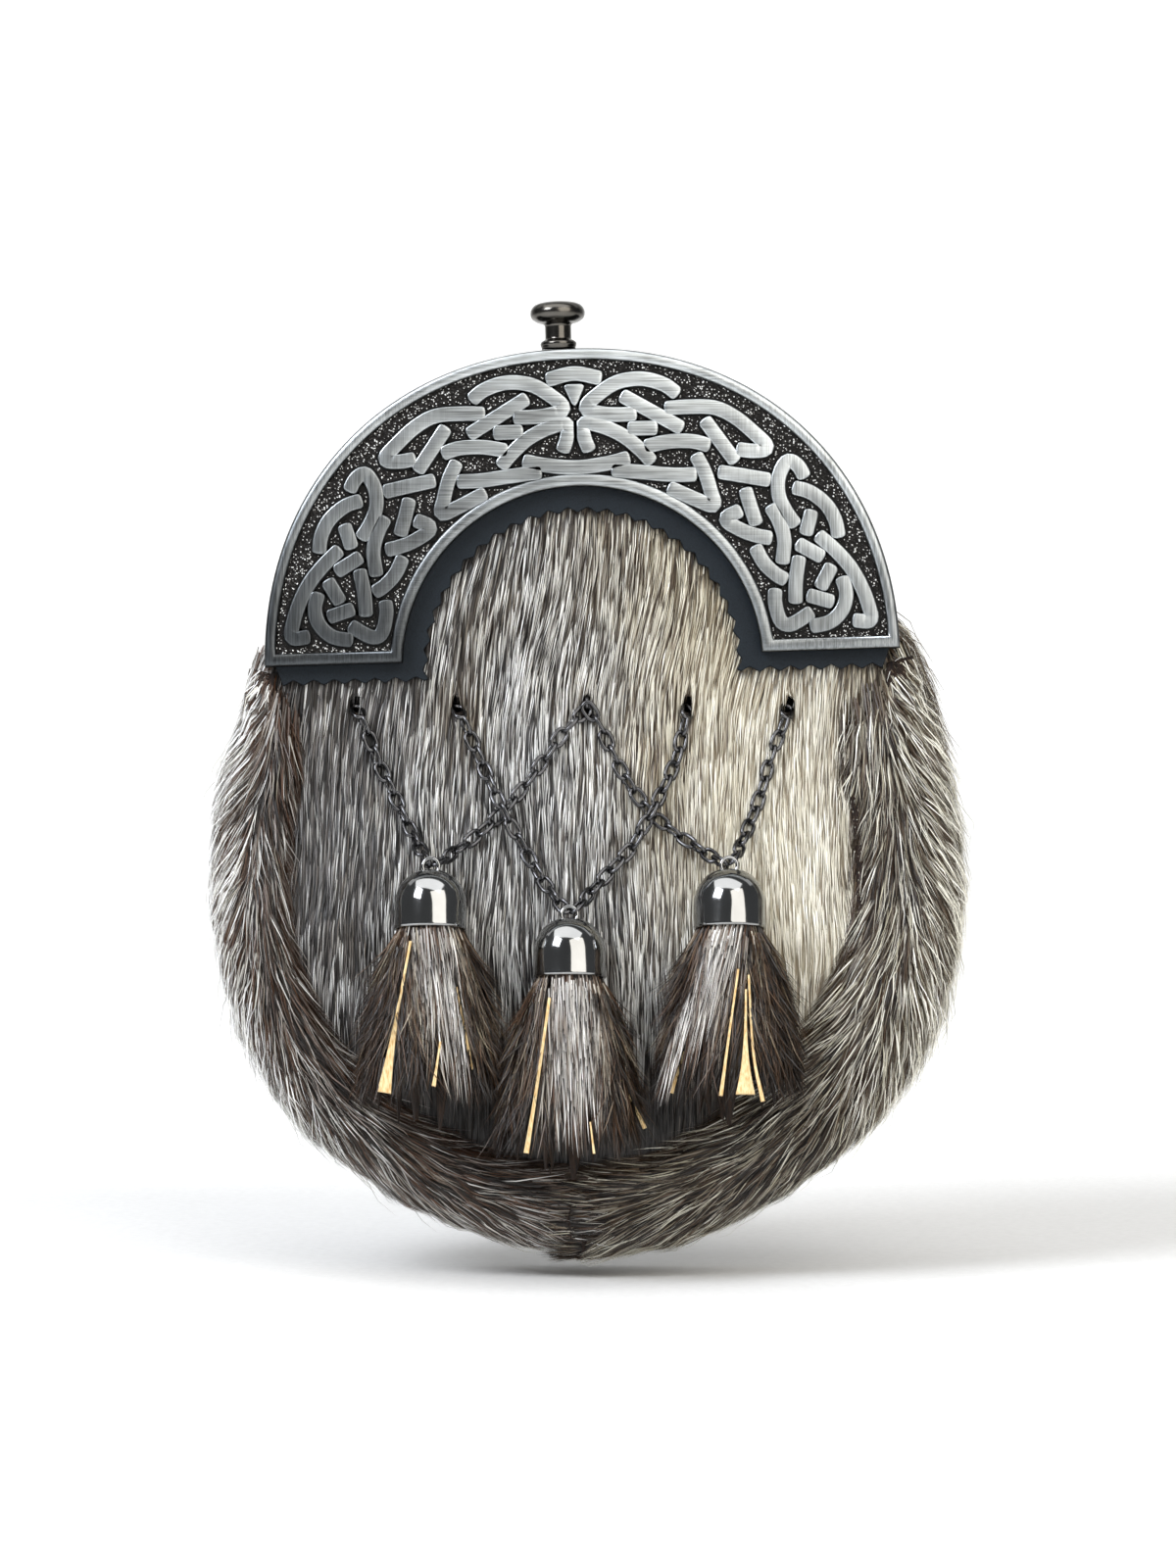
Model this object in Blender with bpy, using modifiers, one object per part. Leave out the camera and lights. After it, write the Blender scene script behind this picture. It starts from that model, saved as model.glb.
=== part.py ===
"""A dress sporran pouch: fur-on hide front, deep fur border, pewter cantle and three chained tassels.

Metres, +Z up, the front faces -Y and +X is to the right as the pouch is seen. The origin is the belt
line, between the two strap loops on the back, level with the feet of the cantle.
"""

import math

import bmesh
import bpy
import numpy as np
from mathutils import Matrix, Vector

MM = 0.001

# Running clearance between touching pieces, and the wider one under curved hide
GAP = 0.3 * MM
SOFT_GAP = 0.7 * MM

# Middle line of the gusset, seen from the front: two half ellipses about BODY_CENTRE_Z
GUSSET_HALF_WIDTH = 81.2 * MM
BODY_CENTRE_Z = -56.0 * MM
GUSSET_TOP_SEMI = 137.0 * MM
GUSSET_BOTTOM_SEMI = 79.0 * MM
BOTTOM_POWER = 1.9
GUSSET_THICK = 2.0 * MM
GUSSET_BULGE = 1.2 * MM
GUSSET_TOP_Z = -1.5 * MM

# Hide and back panel
PANEL_OVERHANG = 3.0 * MM
ARCH_RADIUS = 77.2 * MM
BACK_REAR_Y = -3.5 * MM
BACK_THICK = 2.0 * MM
HIDE_THICK = 3.0 * MM
CAVITY_TOP = 9.0 * MM
CAVITY_BOTTOM = 26.0 * MM
CAVITY_GROWS_FROM_Z = -6.0 * MM
CAVITY_FULL_AT_Z = -85.0 * MM
HIDE_CROWN = 4.0 * MM

# Cantle, in its own upright frame before the lean
CANTLE_LEAN_DEG = 1.75
CANTLE_RADIUS = 80.0 * MM
CANTLE_POWER = 2.15
CANTLE_INNER_RADIUS = 45.3 * MM
CANTLE_FOOT_Z = 2.2 * MM
CANTLE_THICK = 2.0 * MM
RELIEF = 1.1 * MM
OUTER_RIM = 2.7 * MM
INNER_RIM = 3.2 * MM
FOOT_RIM = 3.0 * MM
KNOT_BAND = 3.5 * MM
FLANGE_THICK = 1.6 * MM
FLANGE_DEPTH = 7.0 * MM

# Pinked leather under the cantle
LEATHER_THICK = 1.6 * MM
LEATHER_RADIUS = 77.4 * MM
LEATHER_INNER_RADIUS = 39.6 * MM
LEATHER_FOOT_Z = -2.0 * MM
LEATHER_FOOT_HALF = 75.6 * MM
PINK_PITCH = 5.0 * MM
PINK_DEPTH = 1.3 * MM

# Turned knob on the cantle's top edge
KNOB_X = -3.6 * MM

# Chain holes through the hide
CHAIN_HOLE_RADIUS = 2.25 * MM
CHAIN_HOLE_Z = -9.4 * MM
CHAIN_HOLE_X = (-57.2 * MM, -31.7 * MM, 1.1 * MM, 26.5 * MM, 51.7 * MM)
CHAIN_TUBE_RADIUS = 1.5 * MM

# Bells over the tassel heads
BELL_RADIUS = 8.9 * MM
BELL_HEIGHT = 15.0 * MM
BELL_STRAIGHT = 5.5 * MM
BELL_FLARE = 0.1 * MM
BELL_WALL = 0.9 * MM
BELL_TILT_DEG = 10.0
BAIL_RADIUS = 2.0 * MM
BAIL_WIRE = 0.5 * MM
BAIL_RISE = 0.9 * MM

# Round head of a tassel, from inside its bell to below the mouth
HEAD_TOP = 7.0 * MM
HEAD_BOTTOM = -5.0 * MM
HEAD_TOP_RADIUS = 7.3 * MM
HEAD_BOTTOM_RADIUS = 7.9 * MM
TASSEL_DEEP = 5.2 * MM
LOCK_THICK = 4.4 * MM
LOCK_BOW = 1.6 * MM

# Deep fur round the gusset
FUR_PROUD = 7.0 * MM
FUR_LOCK_PITCH = 13.0 * MM
FUR_LOCK_HEIGHT = 1.8 * MM
FUR_SEAM_X = -1.6 * MM
FUR_BOTTOM_REACH = 9.0 * MM
FUR_BACK_Y = -3.0 * MM
FUR_FLAT_LENGTH = 3.5 * MM
FUR_RISE_LENGTH = 12.0 * MM
FUR_SECTIONS = 42

# Strap loops on the back
LOOP_X = 32.0 * MM
LOOP_WIDTH = 12.0 * MM
LOOP_STRIP = 2.5 * MM

# Knotwork, left half of the cantle: angle in degrees left of the crown, radius in mm from the
# arch's centre. A row is one raised band, and the right half is its mirror image.
KNOT_BANDS = (
    ("crown triangle", ((3.0, 70.1), (0.0, 65.5))),
    (
        "crown petal",
        (
            (21.1, 72.4), (17.9, 73.7), (13.5, 73.8), (9.0, 72.1), (5.5, 69.0),
            (2.4, 65.0), (6.1, 63.7), (10.4, 64.0), (13.8, 65.0),
        ),
    ),
    ("crown bar", ((9.8, 68.9), (24.6, 64.8))),
    (
        "upper leaf",
        (
            (19.4, 68.0), (23.7, 70.3), (28.6, 72.9), (32.8, 73.4), (37.3, 72.9),
            (41.9, 72.1), (40.4, 69.3), (37.1, 66.9),
        ),
    ),
    ("leaf bar", ((27.9, 69.2), (38.7, 64.2))),
    ("lozenge", ((19.2, 62.8), (12.5, 60.8))),
    ("long slope", ((31.8, 64.0), (27.7, 62.9), (22.6, 60.4), (17.5, 57.3))),
    (
        "lower petal",
        (
            (20.8, 54.1), (16.6, 56.4), (11.5, 58.9), (6.0, 60.6), (1.9, 61.0),
            (2.1, 57.8), (3.7, 54.0),
        ),
    ),
    ("long sweep", ((10.2, 49.9), (18.6, 51.0), (27.0, 53.2), (32.5, 56.1))),
    (
        "inner vee",
        (
            (29.7, 60.4), (33.8, 57.8), (37.8, 54.7), (41.1, 52.2), (35.9, 50.7),
            (27.3, 49.9),
        ),
    ),
    ("shoulder bar", ((47.1, 66.5), (42.1, 62.8), (36.6, 59.6))),
    (
        "shoulder hook",
        (
            (51.5, 73.3), (48.8, 74.0), (46.7, 72.9), (47.7, 68.7), (50.6, 65.5),
            (54.4, 64.3), (58.5, 64.3),
        ),
    ),
    ("outer arc", ((51.3, 69.4), (54.3, 72.0), (58.1, 73.5), (61.7, 73.4), (65.1, 72.1))),
    ("outer bar", ((57.5, 69.8), (61.3, 65.0))),
    (
        "long arc",
        (
            (62.4, 67.7), (67.0, 69.9), (71.4, 71.8), (75.6, 72.9), (79.4, 73.5),
            (82.7, 73.4), (82.1, 68.9),
        ),
    ),
    ("cross bar", ((61.8, 62.1), (67.5, 66.4))),
    ("middle link", ((51.1, 62.1), (55.4, 61.4), (59.8, 59.8), (64.7, 56.4))),
    ("neck bar", ((44.1, 60.6), (48.8, 58.0), (52.8, 56.4))),
    ("lower leaf", ((47.2, 56.1), (45.9, 51.6), (51.0, 52.5), (55.1, 54.9), (57.8, 57.5))),
    ("lower arc", ((56.8, 52.8), (62.1, 52.5), (66.3, 53.8), (69.0, 55.7))),
    ("foot link", ((64.8, 61.2), (69.7, 57.9), (75.4, 55.8))),
    ("foot bar", ((69.6, 67.8), (73.7, 62.7))),
    ("foot turn", ((72.7, 68.9), (76.3, 68.8), (79.4, 66.9), (81.6, 63.2), (81.9, 58.1))),
    ("foot cross", ((77.5, 65.2), (74.1, 59.2))),
    ("foot vee", ((78.3, 59.5), (80.4, 53.7), (79.1, 51.2), (73.5, 51.0), (69.8, 52.3))),
)

# Bands that cross the crown in one piece, from the right side to the left
CROWN_BANDS = (
    ("crown arc", ((-5.5, 72.5), (0.0, 73.6), (5.5, 72.5))),
    ("lens arc", ((-14.5, 53.8), (-8.8, 51.4), (0.0, 50.0), (8.8, 51.4), (14.5, 53.8))),
)

# Tassels: name, mouth of the bell (x, z), length below it, half the spread, turn of the locks
TASSELS = (
    ("left", -37.4, -65.6, 50.0, 17.0, 12.0),
    ("centre", -3.2, -77.4, 50.0, 16.0, 0.0),
    ("right", 36.2, -65.4, 49.0, 15.5, -12.0),
)

# Chains: hole, tassel, side of the bail it comes to, then (x, z, lift off the hide) in mm. Where two
# strands cross, the upper one is lifted by a tube and a gap.
CHAINS = (
    (
        "left_outer", 0, "left", -1,
        ((-54.8, -15.0, 0.0), (-51.7, -23.5, 0.0), (-47.0, -33.0, 0.0), (-43.0, -41.0, 0.8)),
    ),
    (
        "left_inner", 2, "left", 1,
        (
            (-1.2, -12.6, 0.0), (-4.8, -16.5, 0.0), (-12.2, -27.0, 0.0), (-19.6, -36.3, 0.0),
            (-25.8, -42.0, 0.3), (-31.0, -46.0, 2.6),
        ),
    ),
    (
        "centre_left", 1, "centre", -1,
        (
            (-29.4, -15.0, 0.0), (-25.8, -23.5, 0.6), (-19.6, -36.6, 3.5), (-15.0, -45.0, 1.2),
            (-10.6, -52.6, 1.6),
        ),
    ),
    (
        "centre_right", 3, "centre", 1,
        (
            (25.4, -15.6, 0.0), (23.6, -23.5, 0.6), (17.2, -36.8, 3.5), (12.2, -45.6, 1.2),
            (5.4, -52.8, 1.6),
        ),
    ),
    (
        "right_inner", None, "right", -1,
        (
            (3.9, -13.4, 0.0), (6.6, -20.0, 0.0), (11.6, -29.6, 0.0), (16.9, -37.0, 0.0),
            (23.6, -42.2, 0.3), (29.6, -46.2, 2.6),
        ),
    ),
    (
        "right_outer", 4, "right", 1,
        ((50.6, -15.0, 0.0), (47.4, -22.4, 0.0), (45.2, -30.6, 0.0), (41.4, -40.6, 0.8)),
    ),
)

COLOURS = {
    "pewter": ((0.30, 0.31, 0.31), 0.38, 1.0),
    "gunmetal": ((0.06, 0.065, 0.065), 0.15, 1.0),
    "navy leather": ((0.022, 0.034, 0.045), 0.6, 0.0),
    "fur on hide": ((0.36, 0.33, 0.29), 0.85, 0.0),
    "dark fur": ((0.075, 0.05, 0.038), 0.9, 0.0),
    "black leather": ((0.012, 0.011, 0.011), 0.55, 0.0),
}


def clear_scene():
    """Remove what the scene holds, so that only the pouch is in it."""
    for ob in list(bpy.data.objects):
        bpy.data.objects.remove(ob, do_unlink=True)


def collection(name):
    """A new collection in the scene."""
    made = bpy.data.collections.new(name)
    bpy.context.scene.collection.children.link(made)
    return made


def material(name, label):
    """A Principled material for one piece, from the table of colours."""
    colour, roughness, metallic = COLOURS[label]
    made = bpy.data.materials.new(name)
    made.use_nodes = True
    shader = made.node_tree.nodes["Principled BSDF"]
    shader.inputs["Base Color"].default_value = (*colour, 1.0)
    shader.inputs["Roughness"].default_value = roughness
    shader.inputs["Metallic"].default_value = metallic
    made.diffuse_color = (*colour, 1.0)
    return made


def place(name, mesh, group, matrix=None, parent=None):
    """Put a mesh in a collection as an object, at matrix in its parent's frame."""
    ob = bpy.data.objects.new(name, mesh)
    group.objects.link(ob)
    ob.parent = parent
    ob.matrix_local = matrix or Matrix.Identity(4)
    return ob


def dress(ob, label, smooth_deg=None):
    """Give a piece its material, and smooth shading below an angle."""
    ob.data.materials.clear()
    ob.data.materials.append(material(ob.name, label))
    if smooth_deg is not None:
        ob.data.shade_smooth()
        ob.data.set_sharp_from_angle(angle=math.radians(smooth_deg))


def finish_mesh(name, bm):
    """Write a bmesh to a new mesh with its faces pointing out."""
    bmesh.ops.recalc_face_normals(bm, faces=bm.faces[:])
    mesh = bpy.data.meshes.new(name)
    bm.to_mesh(mesh)
    bm.free()
    return mesh


def mesh_of_curve(ob):
    """A curve object's evaluated mesh with its caps welded on. The curve is removed."""
    bpy.context.view_layer.update()
    evaluated = ob.evaluated_get(bpy.context.evaluated_depsgraph_get())
    mesh = bpy.data.meshes.new_from_object(evaluated)
    bm = bmesh.new()
    bm.from_mesh(mesh)
    bmesh.ops.remove_doubles(bm, verts=bm.verts[:], dist=0.00001)
    bmesh.ops.recalc_face_normals(bm, faces=bm.faces[:])
    bm.to_mesh(mesh)
    bm.free()
    bpy.data.objects.remove(ob, do_unlink=True)
    return mesh


# The plane in which an outline is drawn, as the frame of its curve: local Z is the way it is extruded
FACING_FRONT = Matrix.Rotation(math.radians(90.0), 4, "X")
FACING_SIDE = Matrix(((0, 0, 1, 0), (1, 0, 0, 0), (0, 1, 0, 0), (0, 0, 0, 1)))


def plate(name, outlines, thick, group, matrix, parent=None):
    """A flat solid from closed outlines of (across, up) points. An inner outline is a hole."""
    curve = bpy.data.curves.new(name, "CURVE")
    curve.dimensions = "2D"
    curve.fill_mode = "BOTH"
    curve.extrude = thick / 2
    for outline in outlines:
        spline = curve.splines.new("POLY")
        spline.points.add(len(outline) - 1)
        for point, (across, up) in zip(spline.points, outline):
            point.co = (across, up, 0.0, 1.0)
        spline.use_cyclic_u = True
    ob = bpy.data.objects.new(name, curve)
    group.objects.link(ob)
    return place(name, mesh_of_curve(ob), group, matrix, parent)


def front_plate(name, outlines, front_y, back_y, group, parent=None):
    """A plate that faces the front, between two depths."""
    middle = Matrix.Translation((0.0, (front_y + back_y) / 2, 0.0))
    return plate(name, outlines, back_y - front_y, group, middle @ FACING_FRONT, parent)


def loft(name, rings):
    """A closed solid through rings that all have as many points."""
    bm = bmesh.new()
    rows = [[bm.verts.new(point) for point in ring] for ring in rings]
    for near, far in zip(rows, rows[1:]):
        for i in range(len(near)):
            j = (i + 1) % len(near)
            bm.faces.new((near[i], near[j], far[j], far[i]))
    bm.faces.new(rows[0][::-1])
    bm.faces.new(rows[-1])
    return finish_mesh(name, bm)


def boolean(ob, operation, tools):
    """Join a collection of hidden tools to a piece, or cut it with them."""
    for tool in tools.objects:
        tool.hide_render = True
        tool.display_type = "WIRE"
    modifier = ob.modifiers.new(operation.lower(), "BOOLEAN")
    modifier.operation = operation
    modifier.solver = "EXACT"
    modifier.operand_type = "COLLECTION"
    modifier.collection = tools
    return modifier


def smooth_step(value):
    """Ease from 0 to 1 as value goes from 0 to 1."""
    value = min(1.0, max(0.0, value))
    return value * value * (3.0 - 2.0 * value)


def blend(first, second, share):
    """The value that lies share of the way from first to second."""
    return first + (second - first) * share


def smooth_route(points, spacing):
    """Points about spacing apart along a smooth curve through the given points."""
    points = [Vector(point) for point in points]
    padded = [2 * points[0] - points[1], *points, 2 * points[-1] - points[-2]]
    route = [points[0]]
    for before, start, end, after in zip(padded, padded[1:], padded[2:], padded[3:]):
        steps = max(1, round((end - start).length / spacing))
        for step in range(1, steps + 1):
            t = step / steps
            route.append(
                0.5
                * (
                    2 * start
                    + (end - before) * t
                    + (2 * before - 5 * start + 4 * end - after) * t**2
                    + (3 * start - before - 3 * end + after) * t**3
                )
            )
    return route


def band_outline(points, width):
    """The outline of a band of even width along a line of (across, up) points, mitred at bends."""
    points = [Vector(point) for point in points]
    left, right = [], []
    for i, point in enumerate(points):
        before = (point - points[i - 1]).normalized() if i else None
        after = (points[i + 1] - point).normalized() if i + 1 < len(points) else None
        along = ((before or after) + (after or before)).normalized()
        side = Vector((-along.y, along.x))
        mitre = side.dot(Vector((-(after or before).y, (after or before).x)))
        reach = side * (width / 2 / max(mitre, 0.6))
        left.append(point + reach)
        right.append(point - reach)
    return left + right[::-1]


def outline_point(turn, outset=0.0):
    """A point (x, z) at a turn round the gusset's middle line, outset along the normal. A turn of 0 is
    the right side, and minus a quarter is the lowest point."""

    def on_line(angle):
        across, up = math.cos(angle), math.sin(angle)
        semi, power = (GUSSET_TOP_SEMI, 2.0) if up > 0 else (GUSSET_BOTTOM_SEMI, BOTTOM_POWER)
        return Vector(
            (
                GUSSET_HALF_WIDTH * math.copysign(abs(across) ** (2 / power), across),
                BODY_CENTRE_Z + semi * math.copysign(abs(up) ** (2 / power), up),
            )
        )

    step = 0.01
    along = (on_line(turn + step) - on_line(turn - step)).normalized()
    return on_line(turn) + outset * Vector((along.y, -along.x))


def turn_at(z):
    """The turn on the right side where the gusset's line passes a height above its widest place."""
    return math.asin((z - BODY_CENTRE_Z) / GUSSET_TOP_SEMI)


def outline_half_width(z, outset):
    """Half the width at a height of the line outset from the gusset's."""
    turns = np.linspace(-math.pi / 2, turn_at(12.0 * MM), 120)
    points = [outline_point(turn, outset) for turn in turns]
    return float(np.interp(z, [p.y for p in points], [p.x for p in points]))


def panel_half_width(z):
    """Half the width of the hide and of the back panel at a height."""
    if z >= 0.0:
        return math.sqrt(max(0.0, ARCH_RADIUS**2 - z**2))
    return outline_half_width(z, PANEL_OVERHANG)


def panel_bottom_z():
    """The lowest point of the hide and of the back panel."""
    return outline_point(-math.pi / 2, PANEL_OVERHANG).y


def fullness(z):
    """0 where the pouch is flat at the belt line, 1 where it is fullest."""
    return smooth_step((CAVITY_GROWS_FROM_Z - z) / (CAVITY_GROWS_FROM_Z - CAVITY_FULL_AT_Z))


def hide_front_y(x, z):
    """Depth of the hide's front face at a point seen from the front."""
    cavity = blend(CAVITY_TOP, CAVITY_BOTTOM, fullness(z))
    across = x / (GUSSET_HALF_WIDTH + PANEL_OVERHANG)
    down = min(0.0, z - BODY_CENTRE_Z) / (GUSSET_BOTTOM_SEMI + PANEL_OVERHANG)
    crown = HIDE_CROWN * fullness(z) * max(0.0, 1.0 - across**2 - down**2)
    return BACK_REAR_Y - BACK_THICK - cavity - HIDE_THICK - crown


# Depths of the flat pieces at the top, from the hide outwards
HIDE_TOP_FRONT_Y = hide_front_y(0.0, 0.0)
LEATHER_BACK_Y = HIDE_TOP_FRONT_Y - GAP
LEATHER_FRONT_Y = LEATHER_BACK_Y - LEATHER_THICK
CANTLE_BACK_Y = LEATHER_FRONT_Y - GAP
CANTLE_FIELD_Y = CANTLE_BACK_Y - CANTLE_THICK
CANTLE_FRONT_Y = CANTLE_FIELD_Y - RELIEF
FLANGE_BACK_Y = CANTLE_BACK_Y + FLANGE_DEPTH


def make_hide(group, tools):
    """The front of the pouch: fur-on hide that bellies forward below the cantle."""
    top, bottom = ARCH_RADIUS, panel_bottom_z()
    bm = bmesh.new()
    bmesh.ops.create_grid(bm, x_segments=12, y_segments=18, size=1.0)
    for vert in bm.verts:
        z = blend(bottom, top, 0.5 + 0.5 * math.sin(vert.co.y * math.pi / 2))
        x = vert.co.x * panel_half_width(z)
        vert.co = (x, hide_front_y(x, z), z)
    bmesh.ops.remove_doubles(bm, verts=bm.verts[:], dist=0.0001)
    mesh = finish_mesh("front_hide", bm)
    if mesh.polygons[0].normal.y > 0:
        mesh.flip_normals()
    ob = place("front_hide", mesh, group)
    shell = ob.modifiers.new("thickness", "SOLIDIFY")
    shell.thickness = HIDE_THICK
    shell.offset = -1.0
    for number, x in enumerate(CHAIN_HOLE_X):
        bm = bmesh.new()
        bmesh.ops.create_cone(
            bm,
            cap_ends=True,
            segments=12,
            radius1=CHAIN_HOLE_RADIUS,
            radius2=CHAIN_HOLE_RADIUS,
            depth=6 * HIDE_THICK,
        )
        middle = Matrix.Translation((x, hide_front_y(x, CHAIN_HOLE_Z), CHAIN_HOLE_Z))
        place(f"hole_{number}", finish_mesh("hole", bm), tools, middle @ FACING_FRONT)
    boolean(ob, "DIFFERENCE", tools)
    dress(ob, "fur on hide", 30.0)


def make_back_panel(group):
    """The flat leather back, with the same outline as the hide."""
    rows = np.linspace(0.0, math.pi, 30)
    top, bottom = ARCH_RADIUS, panel_bottom_z()
    heights = [blend(bottom, top, 0.5 + 0.5 * math.cos(row)) for row in rows]
    right = [(panel_half_width(z), z) for z in heights[1:-1]]
    left = [(-x, z) for x, z in right[::-1]]
    outline = [(0.0, top), *right, (0.0, bottom), *left]
    ob = front_plate("back_panel", [outline], BACK_REAR_Y - BACK_THICK, BACK_REAR_Y, group)
    dress(ob, "black leather", 30.0)


def make_gusset(group):
    """The leather wall between hide and back, from one foot of the cantle round to the other."""
    start = turn_at(GUSSET_TOP_Z)
    bm = bmesh.new()
    bmesh.ops.create_grid(bm, x_segments=38, y_segments=2, size=1.0)
    for vert in bm.verts:
        turn = -math.pi / 2 + vert.co.x * (start + math.pi / 2)
        share = (vert.co.y + 1.0) / 2
        x, z = outline_point(turn, GUSSET_BULGE * math.sin(share * math.pi))
        back = BACK_REAR_Y - BACK_THICK - SOFT_GAP
        front = hide_front_y(x, z) + HIDE_THICK + SOFT_GAP
        vert.co = (x, blend(back, front, share), z)
    ob = place("gusset", finish_mesh("gusset", bm), group)
    shell = ob.modifiers.new("thickness", "SOLIDIFY")
    shell.thickness = GUSSET_THICK
    shell.offset = 0.0
    dress(ob, "black leather", 30.0)


def fur_section(turn, reach, outward, rise, along, flat_end=False):
    """One section across the border fur: a hook round the edge of the hide. rise is 0 where the fur
    lies flat beside the cantle and 1 where it stands at full height over the hide."""
    base = outline_point(turn)
    normal = (outline_point(turn, 1.0) - base).normalized()
    if flat_end:
        normal = Vector((0.0, -1.0))
    edge = base + PANEL_OVERHANG * normal
    inside = PANEL_OVERHANG + blend(1.2 * MM, 0.6 * MM, rise)
    inside += max(0.0, panel_half_width(edge.y) - edge.x)
    tip = blend(inside - 0.3 * MM, -reach, rise)
    proud = blend(0.5 * MM, FUR_PROUD, rise)

    def hide_at(out):
        return hide_front_y(*(base + min(out, PANEL_OVERHANG) * normal))

    front = hide_at(PANEL_OVERHANG)
    middle = (front + FUR_BACK_Y) / 2
    near, far = blend(inside, tip, 0.15), blend(inside, tip, 0.65)
    # Distance out from the gusset's line, depth, share of the lock height and the lock's phase
    points = (
        (tip, hide_at(tip) - 1.2 * SOFT_GAP, 0.0, 0.0),
        (inside, front - SOFT_GAP, 0.0, 0.0),
        (inside, FUR_BACK_Y, 0.0, 0.0),
        (blend(inside, outward, 0.45), FUR_BACK_Y + 0.6 * MM, 0.2, 0.0),
        (blend(inside, outward, 0.85), FUR_BACK_Y - 3.0 * MM, 0.7, 0.0),
        (outward, middle, 1.0, 0.5),
        (blend(inside, outward, 0.86), front + 0.5 * MM, 1.0, 0.1),
        (blend(inside, outward, 0.45), front - 0.72 * proud, 1.0, 0.6),
        (near, hide_at(near) - proud, 1.0, 0.2),
        (far, hide_at(far) - 0.8 * proud, 0.8, 0.7),
        (tip - 0.2 * MM, hide_at(tip) - SOFT_GAP - 0.2 * proud, 0.2, 0.3),
    )
    ring = []
    for out, depth, share, phase in points:
        lock = (along / FUR_LOCK_PITCH + phase) % 1.0
        swell = FUR_LOCK_HEIGHT * (lock - 0.5) * share * blend(0.3, 1.0, rise)
        if out > inside + MM:
            out += swell
        else:
            depth -= swell
        x, z = base + out * normal
        ring.append((x, depth, z))
    return ring


def make_border_fur(group, name, side, top_z, reach, outward):
    """Half of the deep fur round the pouch, from a foot of the cantle to the seam at the bottom. side
    is -1 on the left and 1 on the right."""
    start = turn_at(top_z)
    seam = abs(FUR_SEAM_X + side * GAP / 2)
    crosses = side * FUR_SEAM_X > 0
    end = -math.pi / 2 + (1 if crosses else -1) * math.asin(
        (seam / GUSSET_HALF_WIDTH) ** (BOTTOM_POWER / 2)
    )
    rings = []
    along = 0.0
    last = outline_point(start)
    for i in range(FUR_SECTIONS + 1):
        share = i / FUR_SECTIONS
        turn = blend(start, end, share)
        here = outline_point(turn)
        along += (here - last).length
        last = here
        rise = blend(0.06, 1.0, smooth_step((along - FUR_FLAT_LENGTH) / FUR_RISE_LENGTH))
        width = blend(reach, FUR_BOTTOM_REACH, smooth_step((share - 0.55) / 0.4))
        above = max(0.0, (here.y - BODY_CENTRE_Z) / abs(BODY_CENTRE_Z))
        out = outward - 4.0 * MM * above**1.5
        ring = fur_section(turn, width, out, rise, along, flat_end=i == FUR_SECTIONS)
        rings.append([(side * x, y, z) for x, y, z in ring])
    dress(place(name, loft(name, rings), group), "dark fur", 35.0)


def cantle_outline(outer_inset, inner_outset, foot_raise):
    """The horseshoe outline of the cantle, drawn in by a rim's width at each edge."""

    def outer(angle):
        across, up = math.cos(angle), math.sin(angle)
        size = (abs(across) ** CANTLE_POWER + abs(up) ** CANTLE_POWER) ** (-1 / CANTLE_POWER)
        radius = CANTLE_RADIUS * size - outer_inset
        return Vector((radius * across, radius * up))

    foot = CANTLE_FOOT_Z + foot_raise
    inner_radius = CANTLE_INNER_RADIUS + inner_outset
    start = math.asin(foot / (CANTLE_RADIUS - outer_inset))
    inner_start = math.asin(foot / inner_radius)
    outside = [outer(angle) for angle in np.linspace(start, math.pi - start, 41)]
    inside = [
        Vector((inner_radius * math.cos(angle), inner_radius * math.sin(angle)))
        for angle in np.linspace(math.pi - inner_start, inner_start, 29)
    ]
    return outside, inside


def knot_line(row, mirror):
    """A band's middle line as (across, up) points, smoothed where it has more than two."""
    points = []
    for degrees, radius in row:
        angle = math.radians(degrees)
        points.append((-mirror * radius * MM * math.sin(angle), radius * MM * math.cos(angle), 0.0))
    return [(point.x, point.y) for point in smooth_route(points, 6.5 * MM)]


def make_cantle(group, tools, frame):
    """The cast pewter arch: a plate with a return flange, raised rims and interlaced knotwork."""
    outside, inside = cantle_outline(0.0, 0.0, 0.0)
    field = [outside + inside]
    ob = front_plate("cantle", field, CANTLE_FIELD_Y, CANTLE_BACK_Y, group, frame)
    root = CANTLE_FIELD_Y + 0.5 * CANTLE_THICK
    rim_outside, rim_inside = cantle_outline(OUTER_RIM, INNER_RIM, FOOT_RIM)
    rim = [outside + inside, rim_outside + rim_inside]
    front_plate("rim", rim, CANTLE_FRONT_Y, root, tools, frame)
    edge = cantle_outline(FLANGE_THICK, 0.0, 0.0)[0]
    front_plate("flange", [outside + edge[::-1]], root, FLANGE_BACK_Y, tools, frame)
    bands = [(name, row, 1) for name, row in CROWN_BANDS]
    bands += [(name, row, mirror) for name, row in KNOT_BANDS for mirror in (1, -1)]
    for name, row, mirror in bands:
        outline = band_outline(knot_line(row, mirror), KNOT_BAND)
        front_plate(f"band {name}", [outline], CANTLE_FRONT_Y, root, tools, frame)
    boolean(ob, "UNION", tools)
    tidy = ob.modifiers.new("merge flats", "DECIMATE")
    tidy.decimate_type = "DISSOLVE"
    tidy.angle_limit = math.radians(1.0)
    dress(ob, "pewter")


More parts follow.
